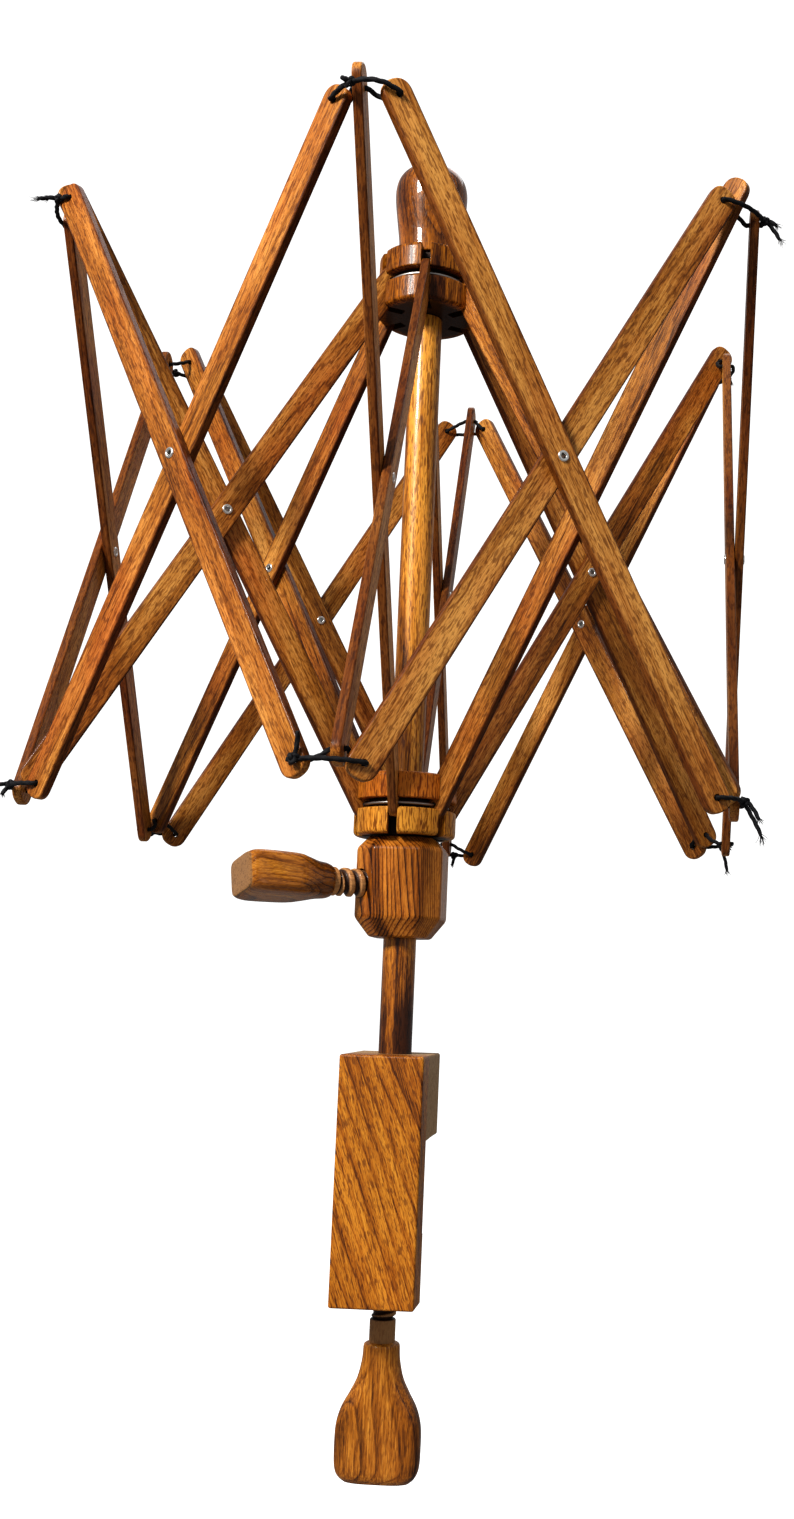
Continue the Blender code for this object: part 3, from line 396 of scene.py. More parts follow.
def finish_mesh(ob, sharp=35, wv=None, weighted=True):
    me = ob.data
    if sharp:
        me.shade_smooth()
        me.set_sharp_from_angle(angle=radians(sharp))
        if weighted and not any(m.type == "WEIGHTED_NORMAL" for m in ob.modifiers):
            m = ob.modifiers.new("normals", "WEIGHTED_NORMAL")
            m.keep_sharp = True
            m.weight = 90
    if wv is not None:
        at = me.attributes.get("wv") or me.attributes.new("wv", "FLOAT_VECTOR", "POINT")
        at.data.foreach_set("vector", list(wv) * len(me.vertices))


def show(ob, body, slot, *nodes):
    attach(ob, body)
    if nodes:
        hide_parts(*nodes)
    return ob


def corner(k):
    a = k * 2 * pi / RIBS
    return Vector((sin(a), -cos(a), 0)), Vector((cos(a), sin(a), 0))


def face_frame(k):
    a = (k + 0.5) * 2 * pi / RIBS
    return Vector((cos(a), sin(a), 0)), Vector((sin(a), -cos(a), 0))


def corner_point(k, side, layer, z):
    er, _ = corner(k)
    chord, nrm = face_frame(k if side > 0 else k - 1)
    return er * CORNER_R + chord * (CORNER_OFF * side) + nrm * layer + Z * z


def lathe(bm, prof, n=64, mat=None):
    rings = []
    for r, z in prof:
        if r < 1e-9:
            rings.append([bm.verts.new((0, 0, z))])
        else:
            rings.append([bm.verts.new((r * cos(2 * pi * i / n), r * sin(2 * pi * i / n), z)) for i in range(n)])
    m = len(rings)
    closed = not (len(rings[0]) == 1 and len(rings[-1]) == 1)
    for j in range(m if closed else m - 1):
        a, b = rings[j], rings[(j + 1) % m]
        for i in range(n):
            k = (i + 1) % n
            if len(a) == 1 and len(b) == 1:
                continue
            if len(a) == 1:
                bm.faces.new((a[0], b[i], b[k]))
            elif len(b) == 1:
                bm.faces.new((a[i], b[0], a[k]))
            else:
                bm.faces.new((a[i], b[i], b[k], a[k]))
    if mat is not None:
        bmesh.ops.transform(bm, matrix=mat, verts=bm.verts[:])
    return bm


def rounded(prof, radii, seg=4):
    """Round the corners of an open (r, z) polyline; radii[i] belongs to corner i."""
    out = []
    for i, p in enumerate(prof):
        rad = radii[i] if i < len(radii) else 0
        if rad <= 0 or i in (0, len(prof) - 1):
            out.append(p)
            continue
        p0, p1, p2 = Vector(prof[i - 1]), Vector(p), Vector(prof[i + 1])
        d0, d2 = (p0 - p1), (p2 - p1)
        t = min(rad, d0.length * 0.49, d2.length * 0.49)
        a, b = p1 + d0.normalized() * t, p1 + d2.normalized() * t
        for s in range(seg + 1):
            u = s / seg
            q = a * (1 - u) ** 2 + p1 * 2 * u * (1 - u) + b * u ** 2
            out.append((q.x, q.y))
    return out


def spline(points, per):
    """Open Catmull-Rom curve through points of any size."""
    pts = [Vector(p) for p in points]
    ext = [pts[0] * 2 - pts[1]] + pts + [pts[-1] * 2 - pts[-2]]
    out = []
    for i in range(1, len(ext) - 2):
        p0, p1, p2, p3 = ext[i - 1:i + 3]
        for s in range(per):
            t = s / per
            out.append(0.5 * (2 * p1 + (p2 - p0) * t + (2 * p0 - 5 * p1 + 4 * p2 - p3) * t * t
                              + (3 * p1 - p0 - 3 * p2 + p3) * t ** 3))
    out.append(pts[-1])
    return out


def closed_spline(pts, per):
    out, n = [], len(pts)
    for i in range(n):
        p0, p1, p2, p3 = pts[i - 1], pts[i], pts[(i + 1) % n], pts[(i + 2) % n]
        for s in range(per):
            t = s / per
            out.append(0.5 * (2 * p1 + (p2 - p0) * t + (2 * p0 - 5 * p1 + 4 * p2 - p3) * t * t
                              + (3 * p1 - p0 - 3 * p2 + p3) * t ** 3))
    return out


def boolean(ob, cutters):
    for c in cutters:
        m = ob.modifiers.new("cut", "BOOLEAN")
        m.operation = "DIFFERENCE"
        m.solver = "EXACT"
        m.object = c
    bpy.context.view_layer.update()
    dg = bpy.context.evaluated_depsgraph_get()
    me = bpy.data.meshes.new_from_object(ob.evaluated_get(dg))
    ob.modifiers.clear()
    ob.data = me
    for c in cutters:
        bpy.data.objects.remove(c, do_unlink=True)
    return ob


def cutter(bm, xf=None):
    bmesh.ops.recalc_face_normals(bm, faces=bm.faces[:])
    me = bpy.data.meshes.new("cutter")
    bm.to_mesh(me)
    bm.free()
    ob = bpy.data.objects.new("cutter", me)
    bpy.context.scene.collection.objects.link(ob)
    ob.hide_render = True
    if xf is not None:
        ob.matrix_world = xf
    return ob


def bevelled(ob, width, seg=2, angle=40, sharp=35, wv=None):
    """Eased edges, applied to the mesh."""
    m = ob.modifiers.new("ease", "BEVEL")
    m.width = width
    m.segments = seg
    m.limit_method = "ANGLE"
    m.angle_limit = radians(angle)
    m.use_clamp_overlap = True
    m.miter_outer = "MITER_ARC"
    bpy.context.view_layer.update()
    dg = bpy.context.evaluated_depsgraph_get()
    me = bpy.data.meshes.new_from_object(ob.evaluated_get(dg))
    ob.modifiers.clear()
    ob.data = me
    finish_mesh(ob, sharp, wv)
    return ob


# =============================================================================
# slats
EASE = 0.9 * MM


def slat_mesh(holes, tip=0.0):
    bm = bmesh.new()
    hw, ht = SLAT_W / 2, SLAT_T / 2
    u1 = holes[-1][0]
    N, POWER = 22, 2.4

    def outline(inset):
        r = hw - inset
        pts = []
        for side, u in ((-1, 0.0), (1, u1 + tip)):
            for i in range(N + 1):
                a = (pi / 2 + pi * i / N) if side < 0 else (-pi / 2 + pi * i / N)
                c, s = cos(a), sin(a)
                rr = r / (abs(c) ** POWER + abs(s) ** POWER) ** (1 / POWER)
                pts.append((u + rr * c, rr * s))
            if side < 0:
                pts += [(u1 * t, -r) for t in (0.08, 0.25, 0.42, 0.47, 0.53, 0.58, 0.75, 0.92)]
            else:
                pts += [(u1 * t, r) for t in (0.92, 0.75, 0.58, 0.53, 0.47, 0.42, 0.25, 0.08)]
        return pts

    levels = []
    for i in range(4):
        a = pi / 2 * i / 3
        levels.append((EASE * (1 - sin(a)), -ht + EASE * (1 - cos(a))))
    levels = levels + [(i, -w) for i, w in reversed(levels)]
    rings = [[bm.verts.new((x, y, w)) for x, y in outline(inset)] for inset, w in levels]
    n = len(rings[0])
    for a, b in zip(rings, rings[1:]):
        for i in range(n):
            j = (i + 1) % n
            bm.faces.new((a[i], a[j], b[j], b[i]))
    seg = 20
    e = 0.25 * MM
    tubes = []
    for u, r in holes:
        prof = [(r + e, -ht), (r, -ht + e), (r, ht - e), (r + e, ht)]
        loops = [[bm.verts.new((u + q * cos(2 * pi * i / seg), q * sin(2 * pi * i / seg), w)) for i in range(seg)]
                 for q, w in prof]
        for a, b in zip(loops, loops[1:]):
            for i in range(seg):
                j = (i + 1) % seg
                bm.faces.new((a[i], b[i], b[j], a[j]))
        tubes.append((loops[0], loops[-1]))
    for outer, pick in ((rings[0], 0), (rings[-1], 1)):
        edges = [bm.edges.get((outer[i], outer[(i + 1) % n])) for i in range(n)]
        for t in tubes:
            h = t[pick]
            edges += [bm.edges.get((h[i], h[(i + 1) % seg])) for i in range(seg)]
        bmesh.ops.triangle_fill(bm, use_beauty=True, use_dissolve=False, edges=edges)
    return bm


RADIAL_HOLES = [(0.0, WIRE_HOLE_R), (HOLE_SPACING / 2, RIVET_HOLE_R), (HOLE_SPACING, CORD_HOLE_R)]
FACE_HOLES = [(0.0, CORD_HOLE_R), (HOLE_SPACING / 2, RIVET_HOLE_R), (HOLE_SPACING, CORD_HOLE_R)]


def slat(name, start, end, across, holes, wv, tip=0.0):
    bm = slat_mesh(holes, tip)
    u = (end - start).normalized()
    w = across.normalized()
    v = w.cross(u).normalized()
    ob = make("slat_" + name, bm, SLAT, basis(start, u, v, w), sharp=50, wv=wv)
    return show(ob, name, "wood_" + name, name)


# (lightness, redness) of each slat; the third number places it in the log. The lightness of ribs 1 to 5 is partly
# painted shade: they are set darker than rib 0 to stand for the shade inside the frame
TONES_AND_SHADE = {
    "rib_down": [(0.45, 0.0), (-0.1, 0.1), (-0.1, 0.0), (-0.1, 0.2), (-0.3, 0.5), (-0.1, 0.3)],
    "rib_up": [(0.55, 0.0), (-0.3, 0.4), (-0.3, 0.3), (-0.3, 0.2), (-0.3, 0.4), (0.0, 0.2)],
    "outer_down": [(0.45, 0.0), (0.1, 0.4), (0.2, 0.1), (0.0, 0.1), (0.3, 0.2), (0.0, 0.7)],
    "outer_up": [(0.35, 0.0), (0.5, 0.1), (0.1, 0.2), (0.0, 0.2), (0.2, 0.3), (0.0, 0.7)],
}
rng = random.Random(11)
for k in range(RIBS):
    er, et = corner(k)
    k2 = (k + 1) % RIBS
    chord, nrm = face_frame(k)
    off = et * RAD_OFF
    seeds = [rng.uniform(0.0, 9.0) for _ in range(4)]
    slat("rib_down_%d" % k, er * PIVOT_R + Z * ZU + off, er * CORNER_R + Z * ZL + off, et, RADIAL_HOLES,
         (*TONES_AND_SHADE["rib_down"][k], seeds[0]))
    slat("rib_up_%d" % k, er * PIVOT_R + Z * ZL - off, er * CORNER_R + Z * ZU - off, et, RADIAL_HOLES,
         (*TONES_AND_SHADE["rib_up"][k], seeds[1]), RIB_TIP)
    slat("outer_down_%d" % k, corner_point(k, 1, OUTER_LAYER, ZU - OUTER_SAG),
         corner_point(k2, -1, OUTER_LAYER, ZL - OUTER_SAG), nrm, FACE_HOLES, (*TONES_AND_SHADE["outer_down"][k], seeds[2]))
    slat("outer_up_%d" % k, corner_point(k, 1, INNER_LAYER, ZL - OUTER_SAG),
         corner_point(k2, -1, INNER_LAYER, ZU - OUTER_SAG), nrm, FACE_HOLES, (*TONES_AND_SHADE["outer_up"][k], seeds[3]))


# --- eyelet rivets ------------------------------------------------------------
def rivet(name, node, body, centre, axis, half):
    bm = bmesh.new()
    h0 = half + 0.02 * MM
    ro, ri, rs = 2.65 * MM, 1.15 * MM, RIVET_R
    prof = []
    for sgn in (-1, 1):
        lip = []
        for i in range(9):       # a rolled lip
            a = pi * i / 8
            rm, rr = (ro + ri) / 2, (ro - ri) / 2
            lip.append((rm + rr * cos(a), sgn * (h0 + 0.72 * MM * sin(a) ** 0.8)))
        prof.append(lip)
    low, high = prof
    ring = [(rs, -h0)] + low + [(ri, -h0 + 0.6 * MM), (ri, h0 - 0.6 * MM)] + list(reversed(high)) + [(rs, h0)]
    lathe(bm, ring, 32)
    z = axis.normalized()
    x = z.cross(Z).normalized()
    ob = make(name, bm, NICKEL, basis(centre, x, z.cross(x), z), sharp=60, weighted=False)
    return show(ob, body, "nickel", node)


for k in range(RIBS):
    er, et = corner(k)
    mid = er * ((PIVOT_R + CORNER_R) / 2) + Z * ((ZU + ZL) / 2)
    rivet("eyelet_rib_%d" % k, "rib_rivet_%d" % k, "rib_down_%d" % k, mid, et, SLAT_T + SIDE_GAP)
    chord, nrm = face_frame(k)
    lay = (OUTER_LAYER + INNER_LAYER) / 2
    p = (corner_point(k, 1, lay, ZU - OUTER_SAG) + corner_point((k + 1) % RIBS, -1, lay, ZL - OUTER_SAG)) / 2
    rivet("eyelet_outer_%d" % k, "outer_rivet_%d" % k, "outer_down_%d" % k, p, nrm,
          (OUTER_LAYER - INNER_LAYER + SLAT_T) / 2)


# =============================================================================
# cord ties: a three-strand cord through the three holes of a corner, knotted outside
STRAND = 1.2 * MM


def frames(path, closed):
    n = len(path)
    tans = []
    for i in range(n):
        a = path[i - 1] if (closed or i > 0) else path[i]
        b = path[(i + 1) % n] if (closed or i < n - 1) else path[i]
        tans.append((b - a).normalized())
    up = tans[0].orthogonal().normalized()
    first, ups = up.copy(), []
    for t in tans:
        up = (up - t * up.dot(t)).normalized()
        ups.append(up.copy())
    if closed:
        t0 = tans[0]
        u = (up - t0 * up.dot(t0)).normalized()
        err = atan2(t0.dot(u.cross(first)), u.dot(first))
        ups = [Matrix.Rotation(err * i / n, 3, tans[i]) @ ups[i] for i in range(n)]
    return tans, ups


def twisted(bm, path, radius, closed=False, lobes=3, pitch=5.0 * MM, seg=15, taper=None):
    """A tube whose section has three soft lobes that turn along it, like laid cord."""
    tans, ups = frames(path, closed)
    n = len(path)
    s = [0.0]
    for i in range(1, n):
        s.append(s[-1] + (path[i] - path[i - 1]).length)
    total = s[-1] + ((path[0] - path[-1]).length if closed else 0)
    twists = max(1, round(total / pitch)) if closed else total / pitch
    rings = []
    for i in range(n):
        side = tans[i].cross(ups[i])
        ph = 2 * pi * twists / lobes * (s[i] / max(total, 1e-9))
        rr = radius * (taper(s[i] / total) if taper else 1.0)
        ring = []
        for j in range(seg):
            a = 2 * pi * j / seg
            q = rr * (0.86 + 0.14 * cos(lobes * (a - ph)))
            ring.append(bm.verts.new(path[i] + (ups[i] * cos(a) + side * sin(a)) * q))
        rings.append(ring)
    for i in range(n if closed else n - 1):
        a, b = rings[i], rings[(i + 1) % n]
        for j in range(seg):
            k = (j + 1) % seg
            bm.faces.new((a[j], a[k], b[k], b[j]))
    if not closed:
        bm.faces.new(rings[0])
        bm.faces.new(rings[-1])


def thread(bm, path, radius, seg=5):
    tans, ups = frames(path, False)
    rings = []
    n = len(path)
    for i in range(n):
        side = tans[i].cross(ups[i])
        rr = radius * (1.0 - 0.5 * i / (n - 1))
        rings.append([bm.verts.new(path[i] + (ups[i] * cos(2 * pi * j / seg) + side * sin(2 * pi * j / seg)) * rr)
                      for j in range(seg)])
    for a, b in zip(rings, rings[1:]):
        for j in range(seg):
            k = (j + 1) % seg
            bm.faces.new((a[j], a[k], b[k], b[j]))
    bm.faces.new(rings[0])
    bm.faces.new(rings[-1])


# knot place along the front (0 = the slat towards k+1, 1 = the slat from k-1), how far the cord stands out and
# rises (mm), then the tails: (outward, sideways, up), length, droop, fray length
KNOTS = {
    ("high", 0): (0.70, 5.4, 2.6, [((0.5, -0.7, 0.3), 4.0, 0.5, 0.0)]),
    ("high", 1): (0.10, 4.0, -1.0, [((0.45, 0.7, -0.3), 9.0, 4.0, 4.0), ((0.6, 0.7, 0.2), 6.0, 2.0, 3.0)]),
    ("high", 2): (0.45, 3.5, 1.0, [((0.8, 0.4, 0.1), 5.0, 2.0, 2.0)]),
    ("high", 3): (0.5, 3.5, 1.0, [((0.8, -0.5, -0.3), 5.0, 1.0, 2.0)]),
    ("high", 4): (0.5, 3.5, 1.0, [((0.7, -0.2, 0.6), 5.0, 1.0, 2.0)]),
    ("high", 5): (0.16, 3.0, 0.5, [((0.9, -0.2, 0.05), 9.0, 1.5, 4.0), ((0.8, -0.4, 0.35), 5.0, 1.0, 3.0)]),
    ("low", 0): (0.92, 2.4, 0.5, [((0.25, 0.15, 0.95), 11.0, 0.0, 0.0)]),
    ("low", 1): (0.35, 3.5, 0.5, [((0.45, 0.25, -0.75), 13.0, 5.0, 5.0), ((0.6, 0.4, -0.4), 8.0, 4.0, 3.0)]),
    ("low", 2): (0.5, 3.0, 0.0, [((0.4, 0.2, -0.9), 12.0, 4.0, 3.0), ((0.6, -0.5, 0.1), 5.0, 1.0, 2.0)]),
    ("low", 3): (0.5, 3.0, 0.0, [((0.6, 0.3, -0.7), 6.0, 2.0, 2.0)]),
    ("low", 4): (0.5, 3.0, 0.0, [((0.7, -0.1, 0.4), 5.0, 1.0, 2.0)]),
    ("low", 5): (0.6, 3.5, 0.5, [((0.9, -0.2, 0.2), 7.0, 2.0, 3.0), ((0.6, 0.5, -0.5), 5.0, 2.0, 2.0)]),
}


def tie(k, level):
    er, et = corner(k)
    high = level == "high"
    z0 = ZU if high else ZL
    rib_off = -RAD_OFF if high else RAD_OFF
    lay_p = OUTER_LAYER if high else INNER_LAYER
    lay_m = INNER_LAYER if high else OUTER_LAYER
    _, n_p = face_frame(k)
    _, n_m = face_frame(k - 1)
    hp = corner_point(k, 1, lay_p, z0 - OUTER_SAG)
    hm = corner_point(k, -1, lay_m, z0 - OUTER_SAG)
    hr = er * CORNER_R + Z * z0 + et * rib_off
    half = SLAT_T / 2
    c = CORD_R + CORD_GAP

    def side_path(h, n, sgn):
        inner = h - n * (half + c + 0.5 * MM)
        beside = hr + et * (sgn * (half + c)) - er * 0.5 * MM
        mid = (inner + beside) / 2 - n * 1.7 * MM
        return [h + n * (half + c + 0.5 * MM) - et * (sgn * 0.5 * MM), h + n * (half + 0.3 * MM),
                h - n * (half + 0.3 * MM), inner, mid, beside, hr + et * (sgn * (half + 0.2 * MM))]

    at, out, lift, tails = KNOTS[(level, k)]
    pts = side_path(hp, n_p, 1) + list(reversed(side_path(hm, n_m, -1)))
    p0, p1 = pts[0], pts[-1]
    front = []
    for t in (0.78, 0.5, 0.22):
        front.append(p0.lerp(p1, t) + er * (out * MM * (4 * t * (1 - t)) + 1.2 * MM) + Z * (lift * MM * 4 * t * (1 - t)))
    path = closed_spline([Vector(p) for p in pts + front], 7)
    bm = bmesh.new()
    twisted(bm, path, STRAND, closed=True)
    # the knot: a small trefoil pulled tight about the cord
    kp = p0.lerp(p1, at) + er * (out * MM * (4 * at * (1 - at)) + 1.9 * MM) + Z * (lift * MM * 4 * at * (1 - at))
    r = random.Random(97 * k + (5 if high else 0))
    axis = (er + et * r.uniform(-0.5, 0.5) + Z * r.uniform(-0.4, 0.4)).normalized()
    sx = axis.orthogonal().normalized()
    sy = axis.cross(sx)
    sc = 0.62 * MM
    trefoil = []
    for i in range(54):
        t = 2 * pi * i / 54
        x, y, z = sin(t) + 2 * sin(2 * t), cos(t) - 2 * cos(2 * t), -sin(3 * t) * 1.35
        trefoil.append(kp + (sx * x + sy * y * 0.92 + axis * z) * sc)
    twisted(bm, trefoil, STRAND * 0.98, closed=True, seg=12)
    for d, length, droop, fray in tails:
        d = (er * d[0] + et * d[1] + Z * d[2]).normalized()
        bend = d.orthogonal().normalized()
        steps = 14
        line = []
        for i in range(steps + 1):
            t = i / steps
            line.append(kp + d * (length * MM * t) - Z * (droop * MM * t * t)
                        + bend * (0.8 * MM * sin(3.0 * t + k)))
        twisted(bm, line, STRAND * 0.95, taper=lambda t: 1.0 if t < 0.85 else 1.0 - 0.25 * (t - 0.85) / 0.15, seg=12)
        if fray:
            end, tan = line[-1], (line[-1] - line[-3]).normalized()
            for f in range(16):
                rnd = Vector((r.uniform(-1, 1), r.uniform(-1, 1), r.uniform(-1, 1)))
                aim = (tan + rnd * 0.55).normalized()
                curl = Vector((r.uniform(-1, 1), r.uniform(-1, 1), r.uniform(-1, 0.4))) * 0.35
                ln = fray * MM * r.uniform(0.6, 1.1)
                start = end - tan * 0.8 * MM + (rnd - tan * rnd.dot(tan)) * 0.45 * MM
                thread(bm, [start + aim * (ln * s / 5) + curl * (ln * (s / 5) ** 2) for s in range(6)], 0.16 * MM)
        else:
            pass
    ob = make("cord_%s_%d" % (level, k), bm, CORDM, Matrix.Translation(hr), world=True, sharp=80, weighted=False)
    return show(ob, "%s_corner_%d" % (level, k), "black_cord", "tie_%s_%d" % (level, k))


for k in range(RIBS):
    for level in ("high", "low"):
        tie(k, level)


# =============================================================================
# hubs
def hub(name, z, bore, side, wv, mat):
    g = GROOVE_H / 2
    outer = rounded([(bore, -HUB_HALF), (HUB_R, -HUB_HALF), (HUB_R, -g), (GROOVE_R, -g), (GROOVE_R, g), (HUB_R, g),
                     (HUB_R, HUB_HALF), (bore, HUB_HALF)], [0, 2.6 * MM, 0.9 * MM, 0.3 * MM, 0.3 * MM, 0.9 * MM, 2.6 * MM, 0], 5)
    bm = bmesh.new()
    lathe(bm, outer, 96)
    ob = make("turned_" + name, bm, mat, None, weighted=False)
    cuts = []
    for k in range(RIBS):
        er, et = corner(k)
        cb = bmesh.new()
        bmesh.ops.create_cube(cb, size=1.0)
        r0, r1 = SLOT_FLOOR_R, HUB_R + 6 * MM
        bmesh.ops.scale(cb, vec=(r1 - r0, SLOT_W, 2 * HUB_HALF + 8 * MM), verts=cb.verts[:])
        bmesh.ops.translate(cb, vec=((r0 + r1) / 2, side * RAD_OFF, 0), verts=cb.verts[:])
        bmesh.ops.transform(cb, matrix=basis(Vector((0, 0, 0)), er, et, Z), verts=cb.verts[:])
        cuts.append(cutter(cb))
    boolean(ob, cuts)
    bevelled(ob, 0.45 * MM, 2, 55, 35, wv)
    ob.location = (0, 0, z)
    return ob


show(hub("upper_hub", ZU, SPIGOT_R + FIT, 1, (0.05, 0.2, 0.6), HUB), "upper", "wood_upper_hub", "upper_hub")
show(hub("lower_hub", ZL, SHAFT_R + FIT, -1, (0.1, 0.1, 1.7), LHUB), "lower", "wood_lower_hub", "lower_hub")


def wire_ring(name, z):
    bm = bmesh.new()
    n, m = 120, 12
    rings = []
    for i in range(n):
        a = 2 * pi * i / n
        rings.append([bm.verts.new(((WIRE_RING_R + WIRE_R * cos(2 * pi * j / m)) * cos(a),
                                    (WIRE_RING_R + WIRE_R * cos(2 * pi * j / m)) * sin(a),
                                    WIRE_R * sin(2 * pi * j / m))) for j in range(m)])
    for i in range(n):
        a, b = rings[i], rings[(i + 1) % n]
        for j in range(m):
            k = (j + 1) % m
            bm.faces.new((a[j], b[j], b[k], a[k]))
    return make(name, bm, STEELW, Matrix.Translation((0, 0, z)), sharp=60, weighted=False)


show(wire_ring("ring_upper", ZU), "upper", "ring_wire", "upper_hub_wire")
show(wire_ring("ring_lower", ZL), "lower", "ring_wire", "lower_hub_wire")

# --- shaft and knob ------------------------------------------------------------
bm = bmesh.new()
prof = [(0, SHAFT_Z0)] + rounded([(0.001 * MM, SHAFT_Z0), (SHAFT_R, SHAFT_Z0), (SHAFT_R, SPIGOT_Z0), (SPIGOT_R, SPIGOT_Z0),
                                  (SPIGOT_R, SHAFT_Z1), (0.001 * MM, SHAFT_Z1)],
                                 [0, 0.8 * MM, 0.4 * MM, 0.2 * MM, 1.0 * MM, 0], 3) + [(0, SHAFT_Z1)]
prof = [prof[0]] + [p for p in prof[1:-1] if p[0] > 0.01 * MM] + [prof[-1]]
lathe(bm, prof, 72)
show(make("turned_shaft", bm, SHAFTW, None, wv=(0.0, 0.2, 2.3)), "frame", "wood_shaft", "shaft")

KNOB_SHAPE = [(0.800, 0.0), (0.825, 0.015), (0.832, 0.08), (0.860, 0.24), (0.915, 0.40), (0.970, 0.56), (0.998, 0.68),
              (0.990, 0.77), (0.930, 0.855), (0.800, 0.925), (0.600, 0.970), (0.340, 0.993), (0.0, 1.0)]
bm = bmesh.new()
skin = [(max(p.x, 0.0) * KNOB_R, KNOB_Z0 + p.y * KNOB_H) for p in spline([(r, h) for r, h in KNOB_SHAPE], 6)]
skin = skin[:-1]
sock = SPIGOT_R + FIT
lathe(bm, [(sock, KNOB_Z0)] + skin + [(0, KNOB_Z0 + KNOB_H), (0, SHAFT_Z1 + FIT), (sock, SHAFT_Z1 + FIT)], 80)
bmesh.ops.remove_doubles(bm, verts=bm.verts[:], dist=1e-7)
show(make("turned_knob", bm, KNOBW, Matrix.Translation((0, 0, KNOB_Z0)), world=True, sharp=40, wv=(-0.1, 0.7, 3.1)),
     "frame", "wood_knob", "knob")

# --- collar --------------------------------------------------------------------
SCREW_DIR = Vector((sin(radians(SCREW_AZ)), -cos(radians(SCREW_AZ)), 0))
side_v = Z.cross(SCREW_DIR)
SCREW_X = basis(Z * SCREW_Z, side_v, Z, SCREW_DIR)


def collar():
    bm = bmesh.new()
    h = COLLAR_W / 2

    def outline(inset):
        a = h - inset
        c = COLLAR_CORNER - inset * 0.586
        return [(a, -a + c), (a, a - c), (a - c, a), (-a + c, a), (-a, a - c), (-a, -a + c), (-a + c, -a), (a - c, -a)]

    levels = [(COLLAR_Z0, COLLAR_BOT_CH * 0.75), (COLLAR_Z0 + COLLAR_BOT_CH, 0), (COLLAR_Z1 - COLLAR_TOP_CH, 0),
              (COLLAR_Z1, COLLAR_TOP_CH * 0.9)]
    rings = [[bm.verts.new((x, y, z)) for x, y in outline(i)] for z, i in levels]
    for a, b in zip(rings, rings[1:]):
        for i in range(8):
            j = (i + 1) % 8
            bm.faces.new((a[i], a[j], b[j], b[i]))
    bm.faces.new(rings[0])
    bm.faces.new(rings[-1])
    bmesh.ops.recalc_face_normals(bm, faces=bm.faces[:])
    bmesh.ops.bevel(bm, geom=bm.edges[:], offset=1.3 * MM, segments=3, profile=0.5, affect="EDGES")
    ob = make("turned_collar", bm, COLLARW, Matrix.Translation((0, 0, COLLAR_Z0)), world=True, weighted=False)
    cb = bmesh.new()
    lathe(cb, [(0, COLLAR_Z0 - 5 * MM), (SHAFT_R + FIT, COLLAR_Z0 - 5 * MM), (SHAFT_R + FIT, COLLAR_Z1 + 5 * MM),
               (0, COLLAR_Z1 + 5 * MM)], 64)
    sb = bmesh.new()
    lathe(sb, [(0, 0), (SCREW_BORE_R, 0), (SCREW_BORE_R, 40 * MM), (0, 40 * MM)], 48)
    boolean(ob, [cutter(cb)])
    boolean(ob, [cutter(sb, SCREW_X)])
    finish_mesh(ob, 30, (0.0, 0.1, 0.3))
    return ob


show(collar(), "collar", "wood_collar", "collar")


# =============================================================================
# wooden screws
def lerp_stations(stations, per):
    pts = spline([(t, a, b, p) for t, a, b, p in stations], per)
    return [tuple(p) for p in pts]


def screw(name, tip, start, end, neck_end, root, crest, pitch, length, stations, xf, mats, plain, wv, split=None,
          seg=56, per=14, neck=None):
    """Nose, thread and neck, then the carved handle, in one lofted skin."""
    bm = bmesh.new()
    rows = []
    rows.append((tip, [plain - 0.8 * MM] * seg))
    rows.append((tip + 0.4 * MM, [plain - 0.25 * MM] * seg))
    rows.append((tip + 0.9 * MM, [plain] * seg))
    rows.append((start, [plain] * seg))
    n = int(round((end - start) / pitch * per))
    for i in range(1, n + 1):
        z = start + (end - start) * i / n
        grow = min(1.0, (z - start) / (0.5 * pitch)) * min(1.0, (end - z) / (0.35 * pitch) + 0.0)
        row = []
        for j in range(seg):
            ph = (z - start) / pitch - j / seg
            f = ph - int(ph) if ph >= 0 else ph - int(ph) + 1
            w = min(1.0, max(0.0, 1.75 - abs(f - 0.5) * 4.6)) ** 0.8      # flat-topped ridges with steep flanks
            row.append(root + (crest - root) * w * grow)
        rows.append((z, row))
    nk = neck if neck is not None else crest
    rows.append((end + 0.3 * MM, [nk - 0.35 * MM] * seg))
    rows.append((end + 0.8 * MM, [nk] * seg))
    rows.append((neck_end - 0.2 * MM, [nk] * seg))
    rings = [[bm.verts.new((row[j] * cos(2 * pi * j / seg), row[j] * sin(2 * pi * j / seg), z)) for j in range(seg)]
             for z, row in rows]
    n_thread = len(rings)
    for t, a, b, p in lerp_stations(stations, 7):
        t = min(max(t, 0.0), 1.0)
        ring = []
        for j in range(seg):
            th = 2 * pi * j / seg
            c, s = cos(th), sin(th)
            r = (abs(c / a) ** p + abs(s / b) ** p) ** (-1.0 / p)
            ring.append(bm.verts.new((r * c * MM, r * s * MM, neck_end + 0.3 * MM + t * (length - 0.3 * MM))))
        rings.append(ring)
    for q, (a, b) in enumerate(zip(rings, rings[1:])):
        for i in range(seg):
            j = (i + 1) % seg
            f = bm.faces.new((a[i], a[j], b[j], b[i]))
            f.material_index = 1 if q < n_thread - 1 else 0
    f = bm.faces.new(rings[0])
    f.material_index = 1
    # the flat end is a fan of rings, so that it shades evenly
    last = rings[-1]
    zc = last[0].co.z
    prev = last
    for s in (0.93, 0.6):
        ring = [bm.verts.new((v.co.x * s, v.co.y * s, zc + (0.25 if s > 0.9 else 0.35) * MM)) for v in last]
        for i in range(seg):
            j = (i + 1) % seg
            bm.faces.new((prev[i], prev[j], ring[j], ring[i]))
        prev = ring
    bm.faces.new(prev)
    ob = make(name, bm, mats[0], xf, sharp=38, wv=wv)
    ob.data.materials.append(mats[1])
    return ob


